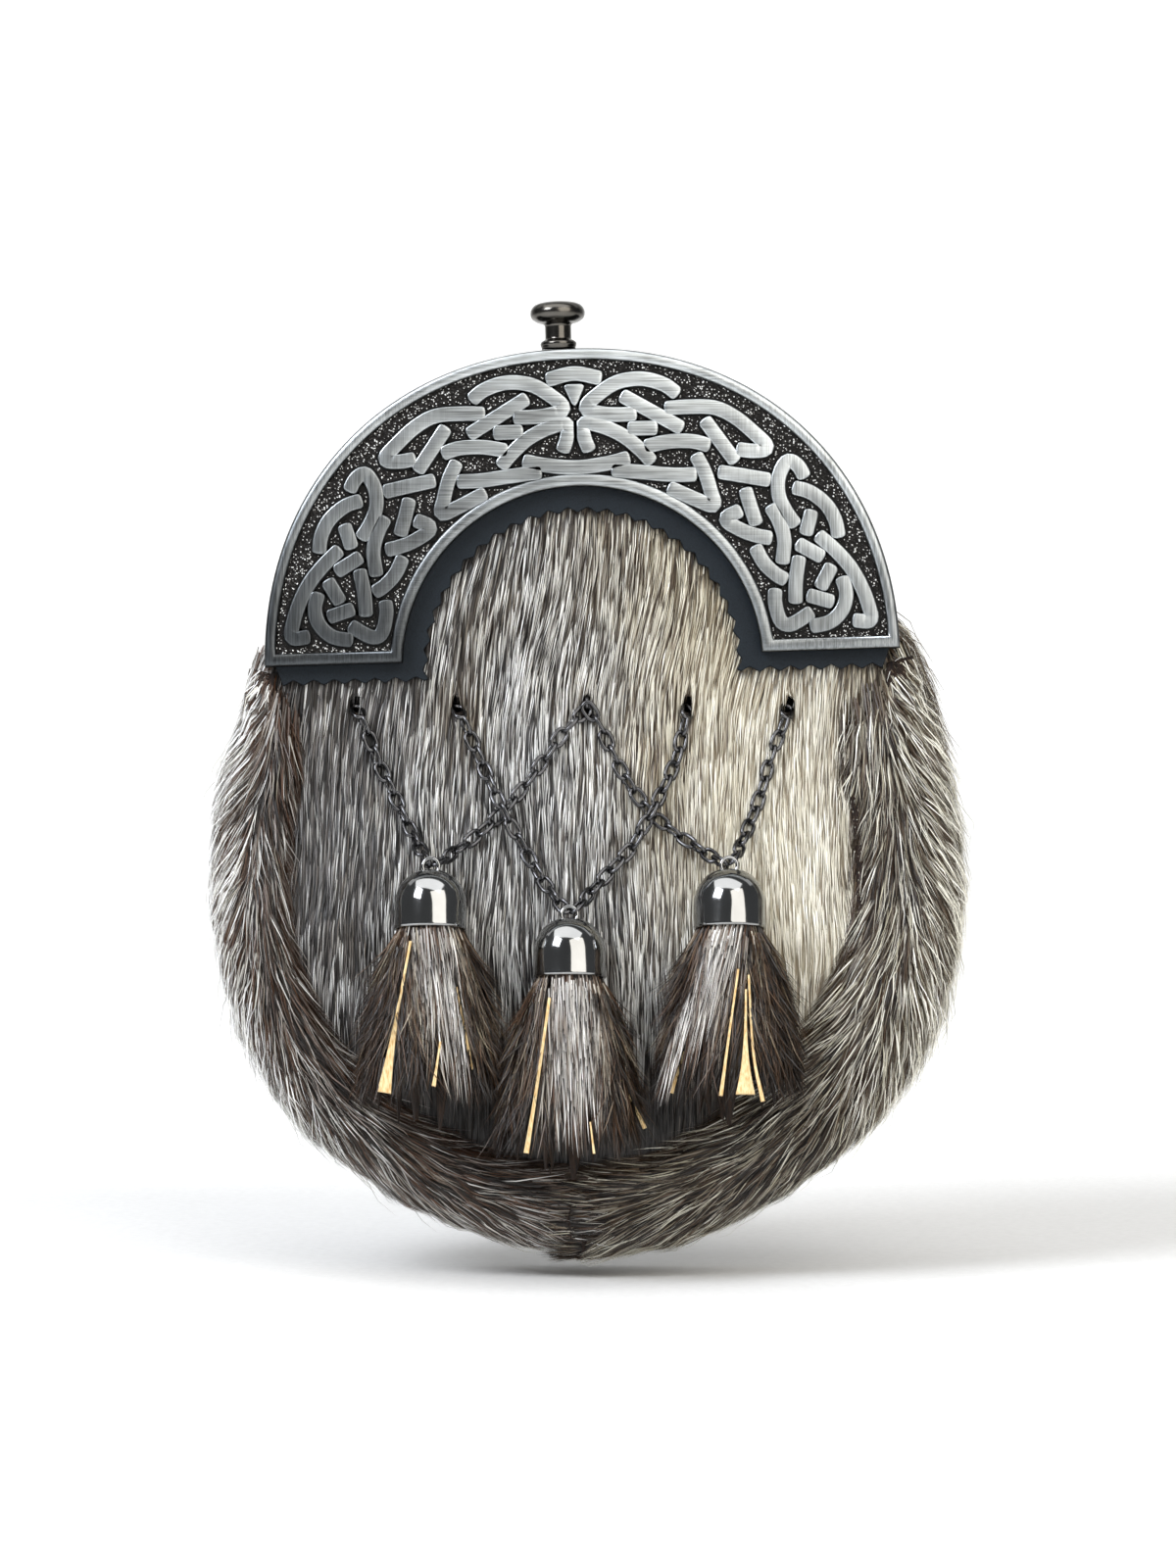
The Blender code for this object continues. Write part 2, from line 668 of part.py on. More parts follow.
def pinked(points, inward):
    """Zigzag points along a line, with teeth of the pinking pitch cut to the inward side."""
    length = sum((b - a).length for a, b in zip(points, points[1:]))
    teeth = max(2, round(length / PINK_PITCH))
    distance = np.cumsum([0.0, *((b - a).length for a, b in zip(points, points[1:]))])
    made = []
    for i in range(2 * teeth + 1):
        at = length * i / (2 * teeth)
        x = float(np.interp(at, distance, [p.x for p in points]))
        z = float(np.interp(at, distance, [p.y for p in points]))
        depth = PINK_DEPTH * (0.5 if i % 2 else -0.5)
        made.append(Vector((x, z)) + depth * inward(x, z))
    return made


def make_cantle_leather(group, frame):
    """The leather arch that shows inside and below the cantle, with a pinked edge."""
    start = math.asin(LEATHER_FOOT_Z / LEATHER_INNER_RADIUS)
    arch = [
        Vector((math.cos(angle), math.sin(angle))) * LEATHER_INNER_RADIUS
        for angle in np.linspace(start, math.pi - start, 60)
    ]
    foot = Vector((LEATHER_FOOT_HALF, LEATHER_FOOT_Z))
    right_foot = pinked([foot, arch[0]], lambda x, z: Vector((0.0, 1.0)))
    inner = pinked(arch, lambda x, z: Vector((x, z)).normalized())
    left_foot = [Vector((-p.x, p.y)) for p in right_foot[::-1]]
    top_start = math.atan2(CANTLE_FOOT_Z, LEATHER_RADIUS)
    outer = [
        Vector((math.cos(angle), math.sin(angle))) * LEATHER_RADIUS
        for angle in np.linspace(math.pi - top_start, top_start, 25)
    ]
    outline = right_foot[:-1] + inner + left_foot[1:] + outer
    ob = front_plate(
        "cantle_leather", [outline], LEATHER_FRONT_Y, LEATHER_BACK_Y, group, frame
    )
    dress(ob, "navy leather")


def turned(name, profile, steps, group, matrix, parent=None):
    """A solid of revolution from (radius, height) points that run down its outer side."""
    mesh = bpy.data.meshes.new(name)
    mesh.from_pydata(
        [(radius, 0.0, height) for radius, height in profile],
        [(i, i + 1) for i in range(len(profile) - 1)],
        [],
    )
    ob = place(name, mesh, group, matrix, parent)
    screw = ob.modifiers.new("turn", "SCREW")
    screw.steps = steps
    screw.render_steps = steps
    screw.use_merge_vertices = True
    screw.merge_threshold = 0.00002
    screw.use_smooth_shade = True
    return ob


def make_knob(group, frame):
    """The turned knob that stands on the cantle's top edge: head, stem and flared collar."""
    # Radius and height in mm above the cantle's edge
    profile = (
        (0.0, 12.0), (3.2, 11.9), (5.6, 11.3), (6.6, 10.4), (6.9, 9.2), (6.6, 7.9),
        (5.2, 6.8), (3.6, 6.2), (3.3, 5.4), (3.3, 3.0), (3.5, 2.2), (4.3, 1.3),
        (4.3, 0.0), (0.0, 0.0),
    )
    seat = Matrix.Translation(
        (KNOB_X, (FLANGE_BACK_Y + CANTLE_FRONT_Y) / 2, CANTLE_RADIUS + GAP)
    )
    ob = turned("knob", [(r * MM, h * MM) for r, h in profile], 16, group, seat, frame)
    dress(ob, "gunmetal")


def bell_profile(inset):
    """The bell's (radius, height) points from the top down to the mouth, inset by a wall."""
    height = BELL_HEIGHT - inset - BELL_STRAIGHT
    radius = BELL_RADIUS - inset
    points = []
    for angle in np.linspace(math.pi / 2, 0.0, 6):
        points.append(
            (
                radius * abs(math.cos(angle)) ** 0.9 if angle < 1.57 else 0.0,
                BELL_STRAIGHT + height * math.sin(angle) ** 0.92,
            )
        )
    points.append((radius + BELL_FLARE, 0.0))
    return points


def bell_frame(x, z):
    """The frame of a bell: origin in the middle of its mouth, with its crown tipped back to the hide.
    It stands off the hide by a gap at the place that comes nearest."""
    tilt = math.radians(BELL_TILT_DEG)
    depth = min(
        hide_front_y(x, z + height)
        - SOFT_GAP
        - radius * math.cos(tilt)
        - height * math.sin(tilt)
        for radius, height in bell_profile(0.0)
    )
    return Matrix.Translation((x, depth, z)) @ Matrix.Rotation(-tilt, 4, "X")


def make_bell(group, tools, name, frame):
    """A turned bell with a bail standing on its crown."""
    inner = bell_profile(BELL_WALL)[::-1]
    profile = bell_profile(0.0) + inner
    ob = turned(f"bell_{name}", profile, 14, group, frame)
    bm = bmesh.new()
    ring = bmesh.ops.create_circle(
        bm, segments=5, radius=BAIL_WIRE, matrix=Matrix.Translation((BAIL_RADIUS, 0.0, 0.0))
    )["verts"]
    bmesh.ops.spin(
        bm,
        geom=ring + list(bm.edges),
        cent=(0.0, 0.0, 0.0),
        axis=(0.0, 1.0, 0.0),
        angle=2 * math.pi,
        steps=10,
    )
    bmesh.ops.remove_doubles(bm, verts=bm.verts[:], dist=0.00001)
    crown = Matrix.Translation((0.0, 0.0, BELL_HEIGHT + BAIL_RISE))
    place(f"bail {name}", finish_mesh("bail", bm), tools, frame @ crown)
    boolean(ob, "UNION", tools)
    dress(ob, "gunmetal")


def lock_mesh(root, tip, width, thick, bow):
    """One lock of fur: a flat spindle from root to tip that bows outwards, six sides round."""
    away = Vector((tip.x, tip.y, 0.0)) - Vector((root.x, root.y, 0.0))
    away = away.normalized() if away.length > MM else Vector((0.0, -1.0, 0.0))
    across = Vector((-away.y, away.x, 0.0))
    # Share of the length, width and thickness at each section
    stations = ((0.0, 0.8, 0.9), (0.35, 1.0, 1.0), (0.75, 0.95, 0.9), (1.0, 0.32, 0.4))
    rings = []
    for share, wide, deep in stations:
        centre = root.lerp(tip, share) + away * bow * math.sin(share * math.pi)
        rings.append(
            [
                centre
                + across * (wide * width / 2 * math.cos(k * math.pi / 3))
                + away * (deep * thick / 2 * math.sin(k * math.pi / 3))
                for k in range(6)
            ]
        )
    return loft("lock", rings)


def make_tassel(group, tools, name, frame, length, spread, turn_deg):
    """Strips of fur-on hide that hang from a round head in the bell, their outer form as locks."""
    bm = bmesh.new()
    bmesh.ops.create_cone(
        bm,
        cap_ends=True,
        segments=14,
        radius1=HEAD_BOTTOM_RADIUS,
        radius2=HEAD_TOP_RADIUS,
        depth=HEAD_TOP - HEAD_BOTTOM,
        matrix=Matrix.Translation((0.0, 0.0, (HEAD_TOP + HEAD_BOTTOM) / 2)),
    )
    ob = place(f"tassel_{name}", finish_mesh("tassel", bm), group, frame)
    # An outer ring of locks, then two longer ones in front: angle, reach, length share, width in mm
    locks = [(turn_deg + 20.0 + 45.0 * k, 1.0, 0.86 + 0.05 * (k % 3), 8.0) for k in range(8)]
    locks += [(turn_deg - 82.0, 0.55, 1.0, 7.5), (turn_deg - 120.0, 0.6, 0.95, 7.0)]
    for number, (degrees, reach, share, width) in enumerate(locks):
        angle = math.radians(degrees)
        root = Vector((4.6 * MM * math.cos(angle), 4.2 * MM * math.sin(angle), -0.5 * MM))
        tip = Vector(
            (
                (spread - 2.5 * MM) * reach * math.cos(angle),
                TASSEL_DEEP * reach * math.sin(angle),
                -length * share,
            )
        )
        mesh = lock_mesh(root, tip, width * MM, LOCK_THICK, LOCK_BOW)
        place(f"lock {name} {number}", mesh, tools, frame)
    boolean(ob, "UNION", tools)
    dress(ob, "dark fur")


def make_chain(group, name, points):
    """One strand of chain as the tube that its links fill."""
    route = smooth_route(points, 2.4 * 2 * CHAIN_TUBE_RADIUS)
    curve = bpy.data.curves.new(name, "CURVE")
    curve.dimensions = "3D"
    curve.bevel_depth = CHAIN_TUBE_RADIUS
    curve.bevel_resolution = 2
    curve.use_fill_caps = True
    spline = curve.splines.new("POLY")
    spline.points.add(len(route) - 1)
    for point, place_at in zip(spline.points, route):
        point.co = (*place_at, 1.0)
    ob = bpy.data.objects.new(name, curve)
    group.objects.link(ob)
    curve.materials.append(material(name, "gunmetal"))


def chain_points(hole, bail, side, rows):
    """A strand's points: out of its hole, over the hide, and up to the bail of its bell."""
    points = []
    if hole is not None:
        x = CHAIN_HOLE_X[hole]
        face = hide_front_y(x, CHAIN_HOLE_Z)
        clear = face - SOFT_GAP - CHAIN_TUBE_RADIUS
        points += [
            (x, face + HIDE_THICK, CHAIN_HOLE_Z),
            (x, face - 0.4 * MM, CHAIN_HOLE_Z),
            (x, clear, CHAIN_HOLE_Z - MM),
        ]
    for x, z, lift in rows:
        rest = hide_front_y(x * MM, z * MM) - SOFT_GAP - CHAIN_TUBE_RADIUS
        points.append((x * MM, rest - lift * MM, z * MM))
    last = Vector(points[-1])
    reach = BAIL_RADIUS + BAIL_WIRE + 0.1 * MM
    points.append(bail + (last - bail).normalized() * reach + Vector((0.35 * side * MM, 0.0, 0.0)))
    return points


def make_strap_loop(group, name, x):
    """A leather loop on the back that the strap passes through, sewn to the panel at its ends."""
    # Middle of the strip as (depth, height) in mm
    line = ((-1.95, -22.0), (-1.95, -15.5), (4.25, -12.0), (4.25, 12.0), (-1.95, 15.5), (-1.95, 22.0))
    outline = band_outline([(y * MM, z * MM) for y, z in line], LOOP_STRIP)
    ob = plate(name, [outline], LOOP_WIDTH, group, Matrix.Translation((x, 0.0, 0.0)) @ FACING_SIDE)
    dress(ob, "black leather")


def main():
    """Build the pouch piece by piece."""
    clear_scene()
    pieces = collection("sporran_pouch")
    cutters = collection("cutters")

    def tool_box(name):
        made = bpy.data.collections.new(name)
        cutters.children.link(made)
        return made

    lean = bpy.data.objects.new("cantle_lean", None)
    cutters.objects.link(lean)
    lean.rotation_euler = (0.0, -math.radians(CANTLE_LEAN_DEG), 0.0)
    make_back_panel(pieces)
    make_gusset(pieces)
    make_hide(pieces, tool_box("holes"))
    make_border_fur(pieces, "border_fur_left", -1, -2.5 * MM, 7.0 * MM, 13.4 * MM)
    make_border_fur(pieces, "border_fur_right", 1, 0.5 * MM, 13.0 * MM, 15.0 * MM)
    make_cantle_leather(pieces, lean)
    make_cantle(pieces, tool_box("relief"), lean)
    make_knob(pieces, lean)
    bails = {}
    for name, x, z, length, spread, turn_deg in TASSELS:
        frame = bell_frame(x * MM, z * MM)
        bails[name] = frame @ Vector((0.0, 0.0, BELL_HEIGHT + BAIL_RISE))
        make_bell(pieces, tool_box(f"bail_{name}"), name, frame)
        tools = tool_box(f"locks_{name}")
        make_tassel(pieces, tools, name, frame, length * MM, spread * MM, turn_deg)
    for name, hole, tassel, side, rows in CHAINS:
        make_chain(pieces, f"chain_{name}", chain_points(hole, bails[tassel], side, rows))
    make_strap_loop(pieces, "strap_loop_left", -LOOP_X)
    make_strap_loop(pieces, "strap_loop_right", LOOP_X)


main()
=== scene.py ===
"""Looks of a dress sporran pouch: its fur, cast arch, pinked leather, bells, chains and tassels.

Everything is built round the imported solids, in metres: +Z up, the front faces -Y and +X is to the
right as the pouch is seen.
"""

import logging
import math
from collections.abc import Callable, Sequence
from dataclasses import dataclass
from enum import Enum
from typing import Any

import bmesh
import bpy
import numpy as np
from bpy.types import Material, Mesh, NodeSocket
from mathutils import Matrix, Vector, noise
from mathutils.bvhtree import BVHTree
from mathutils.kdtree import KDTree


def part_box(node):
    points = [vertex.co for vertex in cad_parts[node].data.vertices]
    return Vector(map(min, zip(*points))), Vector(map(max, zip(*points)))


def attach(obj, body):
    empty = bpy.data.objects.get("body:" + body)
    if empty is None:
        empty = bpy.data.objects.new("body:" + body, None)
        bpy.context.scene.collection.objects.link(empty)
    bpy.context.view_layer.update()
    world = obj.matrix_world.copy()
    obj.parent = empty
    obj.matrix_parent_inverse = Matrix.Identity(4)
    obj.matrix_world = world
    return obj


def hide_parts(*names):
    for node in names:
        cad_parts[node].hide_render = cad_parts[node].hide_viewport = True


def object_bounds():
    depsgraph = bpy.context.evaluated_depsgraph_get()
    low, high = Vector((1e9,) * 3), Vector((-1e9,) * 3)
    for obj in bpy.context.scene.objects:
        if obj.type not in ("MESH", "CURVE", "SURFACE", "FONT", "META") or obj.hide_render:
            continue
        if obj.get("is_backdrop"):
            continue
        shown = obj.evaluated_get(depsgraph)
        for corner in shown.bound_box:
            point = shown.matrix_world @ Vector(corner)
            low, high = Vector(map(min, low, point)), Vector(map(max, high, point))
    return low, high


LOG = logging.getLogger("sporran")

Array = np.ndarray
Random = np.random.Generator

MM = 0.001

# The photograph's scale at the cantle's face, its size and the pixel of the pouch's origin
PIXELS_PER_MM = 4.05
IMAGE_SIZE = (1200, 1600)
ORIGIN_PIXEL = (594.5, 680.0)

# The way that the pouch faces, and the height of the chains' holes
FRONTWARDS = np.array([0.0, -1.0, 0.0])
HOLE_Z = -9.4 * MM

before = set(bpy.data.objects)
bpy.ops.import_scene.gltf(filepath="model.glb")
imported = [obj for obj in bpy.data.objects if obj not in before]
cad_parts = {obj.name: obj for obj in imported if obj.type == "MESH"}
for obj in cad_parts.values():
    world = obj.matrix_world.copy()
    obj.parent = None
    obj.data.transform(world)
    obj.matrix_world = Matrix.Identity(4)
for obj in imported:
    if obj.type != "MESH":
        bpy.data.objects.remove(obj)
SOLID_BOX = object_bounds()


class Slot(Enum):
    """Material slots of the record."""

    PEWTER = "pewter"
    GUNMETAL = "gunmetal"
    CHAIN = "chain_metal"
    PINKED_LEATHER = "pinked_leather"
    BACK_LEATHER = "back_leather"
    FRONT_FUR = "front_fur"
    BORDER_FUR = "border_fur"
    TASSEL_FUR = "tassel_fur"


class Side(Enum):
    """The two halves of the pouch as it is seen."""

    LEFT = -1
    RIGHT = 1


def linear(code: str) -> tuple[float, float, float, float]:
    """Turn an sRGB hex colour into a linear one.

    Args:
        code: six hex digits.

    Returns:
        Red, green, blue and an alpha of 1.
    """
    channels = [int(code[i : i + 2], 16) / 255 for i in (0, 2, 4)]
    red, green, blue = [c / 12.92 if c <= 0.04045 else ((c + 0.055) / 1.055) ** 2.4 for c in channels]
    return red, green, blue, 1.0


def color_stops(ramp: NodeSocket, stops: Sequence[tuple[float, str]]) -> NodeSocket:
    """Set the stops of a colour ramp.

    Args:
        ramp: the colour ramp's output socket.
        stops: place from 0 to 1 and sRGB hex colour, in order.

    Returns:
        The same socket.
    """
    elements = ramp.node.color_ramp.elements
    while len(elements) < len(stops):
        elements.new(0.5)
    for element, (place, code) in zip(elements, stops):
        element.position = place
        element.color = linear(code)
    return ramp


class Surface:
    """A material in the making: a Principled shader and the nodes that feed it."""

    def __init__(self, name: str, **values: float) -> None:
        """Start the material.

        Args:
            name: its name.
            **values: values of the shader's sockets, with underscores for spaces.
        """
        self.made = bpy.data.materials.new(name)
        self.made.use_nodes = True
        self.tree = self.made.node_tree
        self.shader = self.tree.nodes["Principled BSDF"]
        for socket, value in values.items():
            self.shader.inputs[socket.replace("_", " ")].default_value = value

    def add(
        self, kind: str, inputs: dict[str | int, Any], out: str | int = 0, **settings: Any
    ) -> NodeSocket:
        """Add a shader node with its settings and links.

        Args:
            kind: the node's type after "ShaderNode".
            inputs: the output socket that feeds each input socket, or the value that it has.
            out: the output socket in use.
            **settings: properties of the node.

        Returns:
            The output socket in use.
        """
        node = self.tree.nodes.new("ShaderNode" + kind)
        for name, value in settings.items():
            setattr(node, name, value)
        for name, value in inputs.items():
            if isinstance(value, NodeSocket):
                self.tree.links.new(value, node.inputs[name])
            else:
                node.inputs[name].default_value = value
        return node.outputs[out]

    def place(self) -> NodeSocket:
        """The place in the pouch's own frame, in metres."""
        return self.add("TexCoord", {}, "Object")

    def finished(self, feeds: dict[str, NodeSocket]) -> Material:
        """Feed the shader.

        Args:
            feeds: the output socket for each of the shader's input sockets.

        Returns:
            The material.
        """
        for name, socket in feeds.items():
            self.tree.links.new(socket, self.shader.inputs[name])
        return self.made


class Finish:
    """A surface finish. The material is made once and shared."""

    def material(self) -> Material:
        """The finish's material."""
        if self not in _MATERIALS:
            _MATERIALS[self] = self.build()
        return _MATERIALS[self]

    def build(self) -> Material:
        """Make the material."""
        raise NotImplementedError


_MATERIALS: dict[Finish, Material] = {}


@dataclass(frozen=True)
class BrushedPewter(Finish):
    """Antiqued cast pewter, the raised parts rubbed bright with a fine brush. The brush leaves hairlines
    that blur reflections one way, and the dark patina stays on the walls that it can't reach."""

    bright: str = "dfe5e7"
    dull: str = "858889"
    wall: str = "2e2f2f"
    # Painted shade: the tint that the arch is multiplied by towards the lower left
    shade_tint: str = "6f7072"
    # Hairlines are 0.05 mm wide, drawn as 0.25 mm so that they show
    hairline_mm: float = 0.25
    tarnish_mm: float = 14.0

    def build(self) -> Material:
        """Make the material.

        Returns:
            The material.
        """
        made = Surface("brushed antiqued pewter", Metallic=1.0, Roughness=0.36)
        place = made.place()
        fine = 1 / (self.hairline_mm * MM)
        streaks = []
        # Round the arch's crown the hairlines run across, and on its legs they run down
        for stretch in ((0.02, 1.0, 1.0), (1.0, 1.0, 0.03)):
            scale = [fine * share for share in stretch]
            lines = made.add("Mapping", {"Scale": scale, "Vector": place})
            streaks.append(made.add("TexNoise", {"Scale": 1.0, "Detail": 2.0, "Vector": lines}))
        side = made.add("SeparateXYZ", {0: place}, "X")
        side = made.add("Math", {0: side}, operation="ABSOLUTE")
        leg = made.add("MapRange", {"From Min": 30 * MM, "From Max": 55 * MM, "Value": side})
        brush = made.add("Mix", {0: leg, 2: streaks[0], 3: streaks[1]}, data_type="FLOAT")
        spots = {"Scale": 1 / (self.tarnish_mm * MM), "Detail": 3.0, "Vector": place}
        patches = made.add("TexNoise", spots)
        mottle = made.add("Math", {0: patches, 1: 0.65, 2: brush}, operation="MULTIPLY_ADD")
        tone = made.add("MapRange", {"From Min": 0.55, "From Max": 1.05, "Value": mottle})
        tone = color_stops(made.add("ValToRGB", {0: tone}), ((0.0, self.dull), (1.0, self.bright)))
        # Painted shade: the upper right is painted lighter and the lower left darker, as the light falls
        # across the arch
        worn_and_lit = made.add("VectorMath", {0: place, 1: (0.2, 0.0, 0.75)}, "Value", operation="DOT_PRODUCT")
        shade_ramp = {"From Min": -8 * MM, "From Max": 50 * MM, "To Min": 1.0, "To Max": 0.0, "Value": worn_and_lit}
        mix = {0: made.add("MapRange", shade_ramp), 6: tone, 7: linear(self.shade_tint)}
        tone = made.add("Mix", mix, 2, data_type="RGBA", blend_type="MULTIPLY")
        # 1 on faces that look to the front and 0 on the walls beside them
        normal = made.add("SeparateXYZ", {0: made.add("TexCoord", {}, "Normal")}, "Y")
        face = made.add("MapRange", {"From Min": -0.25, "From Max": -0.8, "Value": normal})
        base = made.add("Mix", {0: face, 6: linear(self.wall), 7: tone}, 2, data_type="RGBA")
        rough = made.add("MapRange", {"To Min": 0.28, "To Max": 0.46, "Value": brush})
        bump = made.add("Bump", {"Strength": 0.25, "Distance": 0.05 * MM, "Height": brush})
        return made.finished({"Base Color": base, "Roughness": rough, "Normal": bump})


@dataclass(frozen=True)
class StippledField(Finish):
    """The sunk field of the casting: punched all over with a round tool and blackened. The punch marks'
    crests are rubbed bright and read as specks on near black."""

    crest: str = "d2d3d1"
    pit: str = "1d1c1b"
    slope: str = "383635"
    punch_mm: float = 0.62

    def build(self) -> Material:
        """Make the material.

        Returns:
            The material.
        """
        made = Surface("blackened stippled pewter", Metallic=0.9, Roughness=0.42)
        place = made.place()
        punched = {"Scale": 1 / (self.punch_mm * MM), "Randomness": 0.85, "Vector": place}
        marks = made.add("TexVoronoi", punched, "Distance")
        wear = made.add("TexNoise", {"Scale": 1 / (2.2 * MM), "Detail": 2.0, "Vector": place})
        worn_and_lit = made.add("Math", {0: wear, 1: -0.5, 2: marks}, operation="MULTIPLY_ADD")
        stops = ((0.0, self.crest), (0.05, self.slope), (0.25, self.pit))
        base = color_stops(made.add("ValToRGB", {0: worn_and_lit}), stops)
        bump = made.add("Bump", {"Strength": 1.0, "Distance": 0.35 * MM, "Height": marks}, invert=True)
        return made.finished({"Base Color": base, "Normal": bump})


@dataclass(frozen=True)
class BlackNickel(Finish):
    """Black nickel plate over a polished turning or wire: a dark mirror that shows the windows of the
    room, a little blurred where fingers have been."""

    name: str
    plate: str
    roughness: float
    smudge_mm: float
    wave_mm: float = 0.0

    def build(self) -> Material:
        """Make the material.

        Returns:
            The material.
        """
        made = Surface(self.name, Metallic=1.0)
        place = made.place()
        smudge = made.add("TexNoise", {"Scale": 1 / (self.smudge_mm * MM), "Detail": 4.0, "Vector": place})
        mix = {0: 0.35, 6: linear(self.plate), 7: smudge}
        base = made.add("Mix", mix, 2, data_type="RGBA", blend_type="MULTIPLY")
        span = {"To Min": self.roughness * 0.6, "To Max": self.roughness * 1.5, "Value": smudge}
        feeds = {"Base Color": base, "Roughness": made.add("MapRange", span)}
        if self.wave_mm > 0.0:
            waves = made.add("TexNoise", {"Scale": 1 / (7 * MM), "Detail": 0.0, "Vector": place})
            dents = {"Strength": 1.0, "Distance": self.wave_mm * MM, "Height": waves}
            feeds["Normal"] = made.add("Bump", dents)
        return made.finished(feeds)


@dataclass(frozen=True)
class DressedLeather(Finish):
    """Chrome-tanned cowhide with a dyed, pressed face: matt, with a pebble of small plates and fine
    creases between them. Cut edges are inked black."""

    name: str
    face: str
    crease: str
    edge: str
    pebble_mm: float
    roughness: float
    relief: float
    gloss: float

    def build(self) -> Material:
        """Make the material.

        Returns:
            The material.
        """
        made = Surface(self.name, Roughness=self.roughness, IOR=1.5, Specular_IOR_Level=self.gloss)
        place = made.place()
        pebbles = {"Scale": 1 / (self.pebble_mm * MM), "Vector": place}
        pebble = made.add("TexVoronoi", pebbles, "Distance", feature="DISTANCE_TO_EDGE")
        cloud = made.add("TexNoise", {"Scale": 1 / (18 * MM), "Detail": 4.0, "Vector": place})
        grain = made.add("MapRange", {"From Max": 0.16, "Value": pebble})
        colours = {0: grain, 6: linear(self.crease), 7: linear(self.face)}
        mixed = made.add("Mix", colours, 2, data_type="RGBA")
        shaded = made.add("Mix", {0: 0.25, 6: mixed, 7: cloud}, 2, data_type="RGBA", blend_type="OVERLAY")
        normal = made.add("SeparateXYZ", {0: made.add("TexCoord", {}, "Normal")}, "Y")
        flat = made.add("Math", {0: normal}, operation="ABSOLUTE")
        face = made.add("MapRange", {"From Min": 0.5, "From Max": 0.93, "Value": flat})
        base = made.add("Mix", {0: face, 6: linear(self.edge), 7: shaded}, 2, data_type="RGBA")
        bump = made.add("Bump", {"Strength": self.relief, "Distance": 0.12 * MM, "Height": grain})
        return made.finished({"Base Color": base, "Normal": bump})


@dataclass(frozen=True)
class Fibres(Finish):
    """A surface of fibres that run down: the cut edge and flesh side of tanned hide, pale and matt, or
    the dense underfur below the guard hairs, dark, soft and seen only in the gaps."""

    name: str
    dark: str
    light: str
    fibre_mm: float
    # A fibre's width over its length
    slimness: float
    detail: float
    roughness: float
    dark_at: float
    light_at: float
    bump: float
    bump_mm: float

    def build(self) -> Material:
        """Make the material.

        Returns:
            The material.
        """
        made = Surface(self.name, Roughness=self.roughness, IOR=1.45)
        scale = [1 / (self.fibre_mm * MM) * share for share in (1.0, 1.0, self.slimness)]
        fibres = made.add("Mapping", {"Scale": scale, "Vector": made.place()})
        grain = made.add("TexNoise", {"Scale": 1.0, "Detail": self.detail, "Vector": fibres})
        stops = ((self.dark_at, self.dark), (self.light_at, self.light))
        base = color_stops(made.add("ValToRGB", {0: grain}), stops)
        bump = made.add("Bump", {"Strength": self.bump, "Distance": self.bump_mm * MM, "Height": grain})
        return made.finished({"Base Color": base, "Normal": bump})


@dataclass(frozen=True)
class HairCoat(Finish):
    """Guard hairs of a fur-on hide: keratin with a dark root, a banded middle and a pale tip. What each
    hair is like comes from three values on its ribbon: along runs from root to tip, tone picks a place
    in the palette and warm fades from the cool palette to the warm one."""

    name: str
    root: str
    cool: tuple[str, str, str, str]
    warm: tuple[str, str, str, str]
    root_share: float = 0.4
    roughness: float = 0.42

    def build(self) -> Material:
        """Make the material.

        Returns:
            The material.
        """
        made = Surface(self.name, Roughness=self.roughness, IOR=1.55)
        labels = ("along", "tone", "warm")
        reach, tone, warm = [made.add("Attribute", {}, "Fac", attribute_name=name) for name in labels]
        palettes = [
            color_stops(made.add("ValToRGB", {0: tone}), list(zip((0.0, 0.35, 0.7, 1.0), colours)))
            for colours in (self.cool, self.warm)
        ]
        tip = made.add("Mix", {0: warm, 6: palettes[0], 7: palettes[1]}, 2, data_type="RGBA")
        span = {"From Max": self.root_share, "Value": reach}
        grown = made.add("MapRange", span, interpolation_type="SMOOTHSTEP")
        base = made.add("Mix", {0: grown, 6: linear(self.root), 7: tip}, 2, data_type="RGBA")
        return made.finished({"Base Color": base})


@dataclass(frozen=True)
class PaleSweep(Finish):
    """A seamless paper sweep under and behind the pouch."""

    def build(self) -> Material:
        """Make the material.

        Returns:
            The material.
        """
        made = Surface("seamless white paper", Roughness=0.9, IOR=1.45)
        tooth = made.add("TexNoise", {"Scale": 1 / (2 * MM), "Vector": made.place()})
        base = color_stops(made.add("ValToRGB", {0: tooth}), ((0.3, "f4f4f3"), (0.7, "fafaf9")))
        return made.finished({"Base Color": base})


PEWTER = BrushedPewter()
FIELD = StippledField()
# Black nickel: name, plate, roughness, size of a smudge in mm and depth of its waves in mm
# Patina and painted shade: the dark strip round the foot of each band
BLACKENED_SHADE = BlackNickel("blackened pewter of the tool channels", "2a2a2a", 0.5, 3.0)
POLISHED = BlackNickel("polished black nickel plate", "b0b1b1", 0.09, 9.0, 0.3)
SMOKED = BlackNickel("worn black nickel plate", "696661", 0.2, 6.0, 0.2)
WIRE = BlackNickel("black nickel plated wire", "666668", 0.2, 4.0)
# Leathers and waxed thread: name, face, crease, edge, pebble in mm, roughness, relief and gloss
NAVY_LEATHER = DressedLeather("pressed navy leather", "182027", "11171d", "07090a", 0.45, 0.6, 0.25, 0.22)
BLACK_LEATHER = DressedLeather("pebbled black leather", "2b2a2a", "0f0e0e", "161515", 1.3, 0.42, 1.0, 0.5)
THREAD = DressedLeather("waxed linen thread", "4a4744", "2c2a28", "4a4744", 0.3, 0.7, 0.8, 0.4)
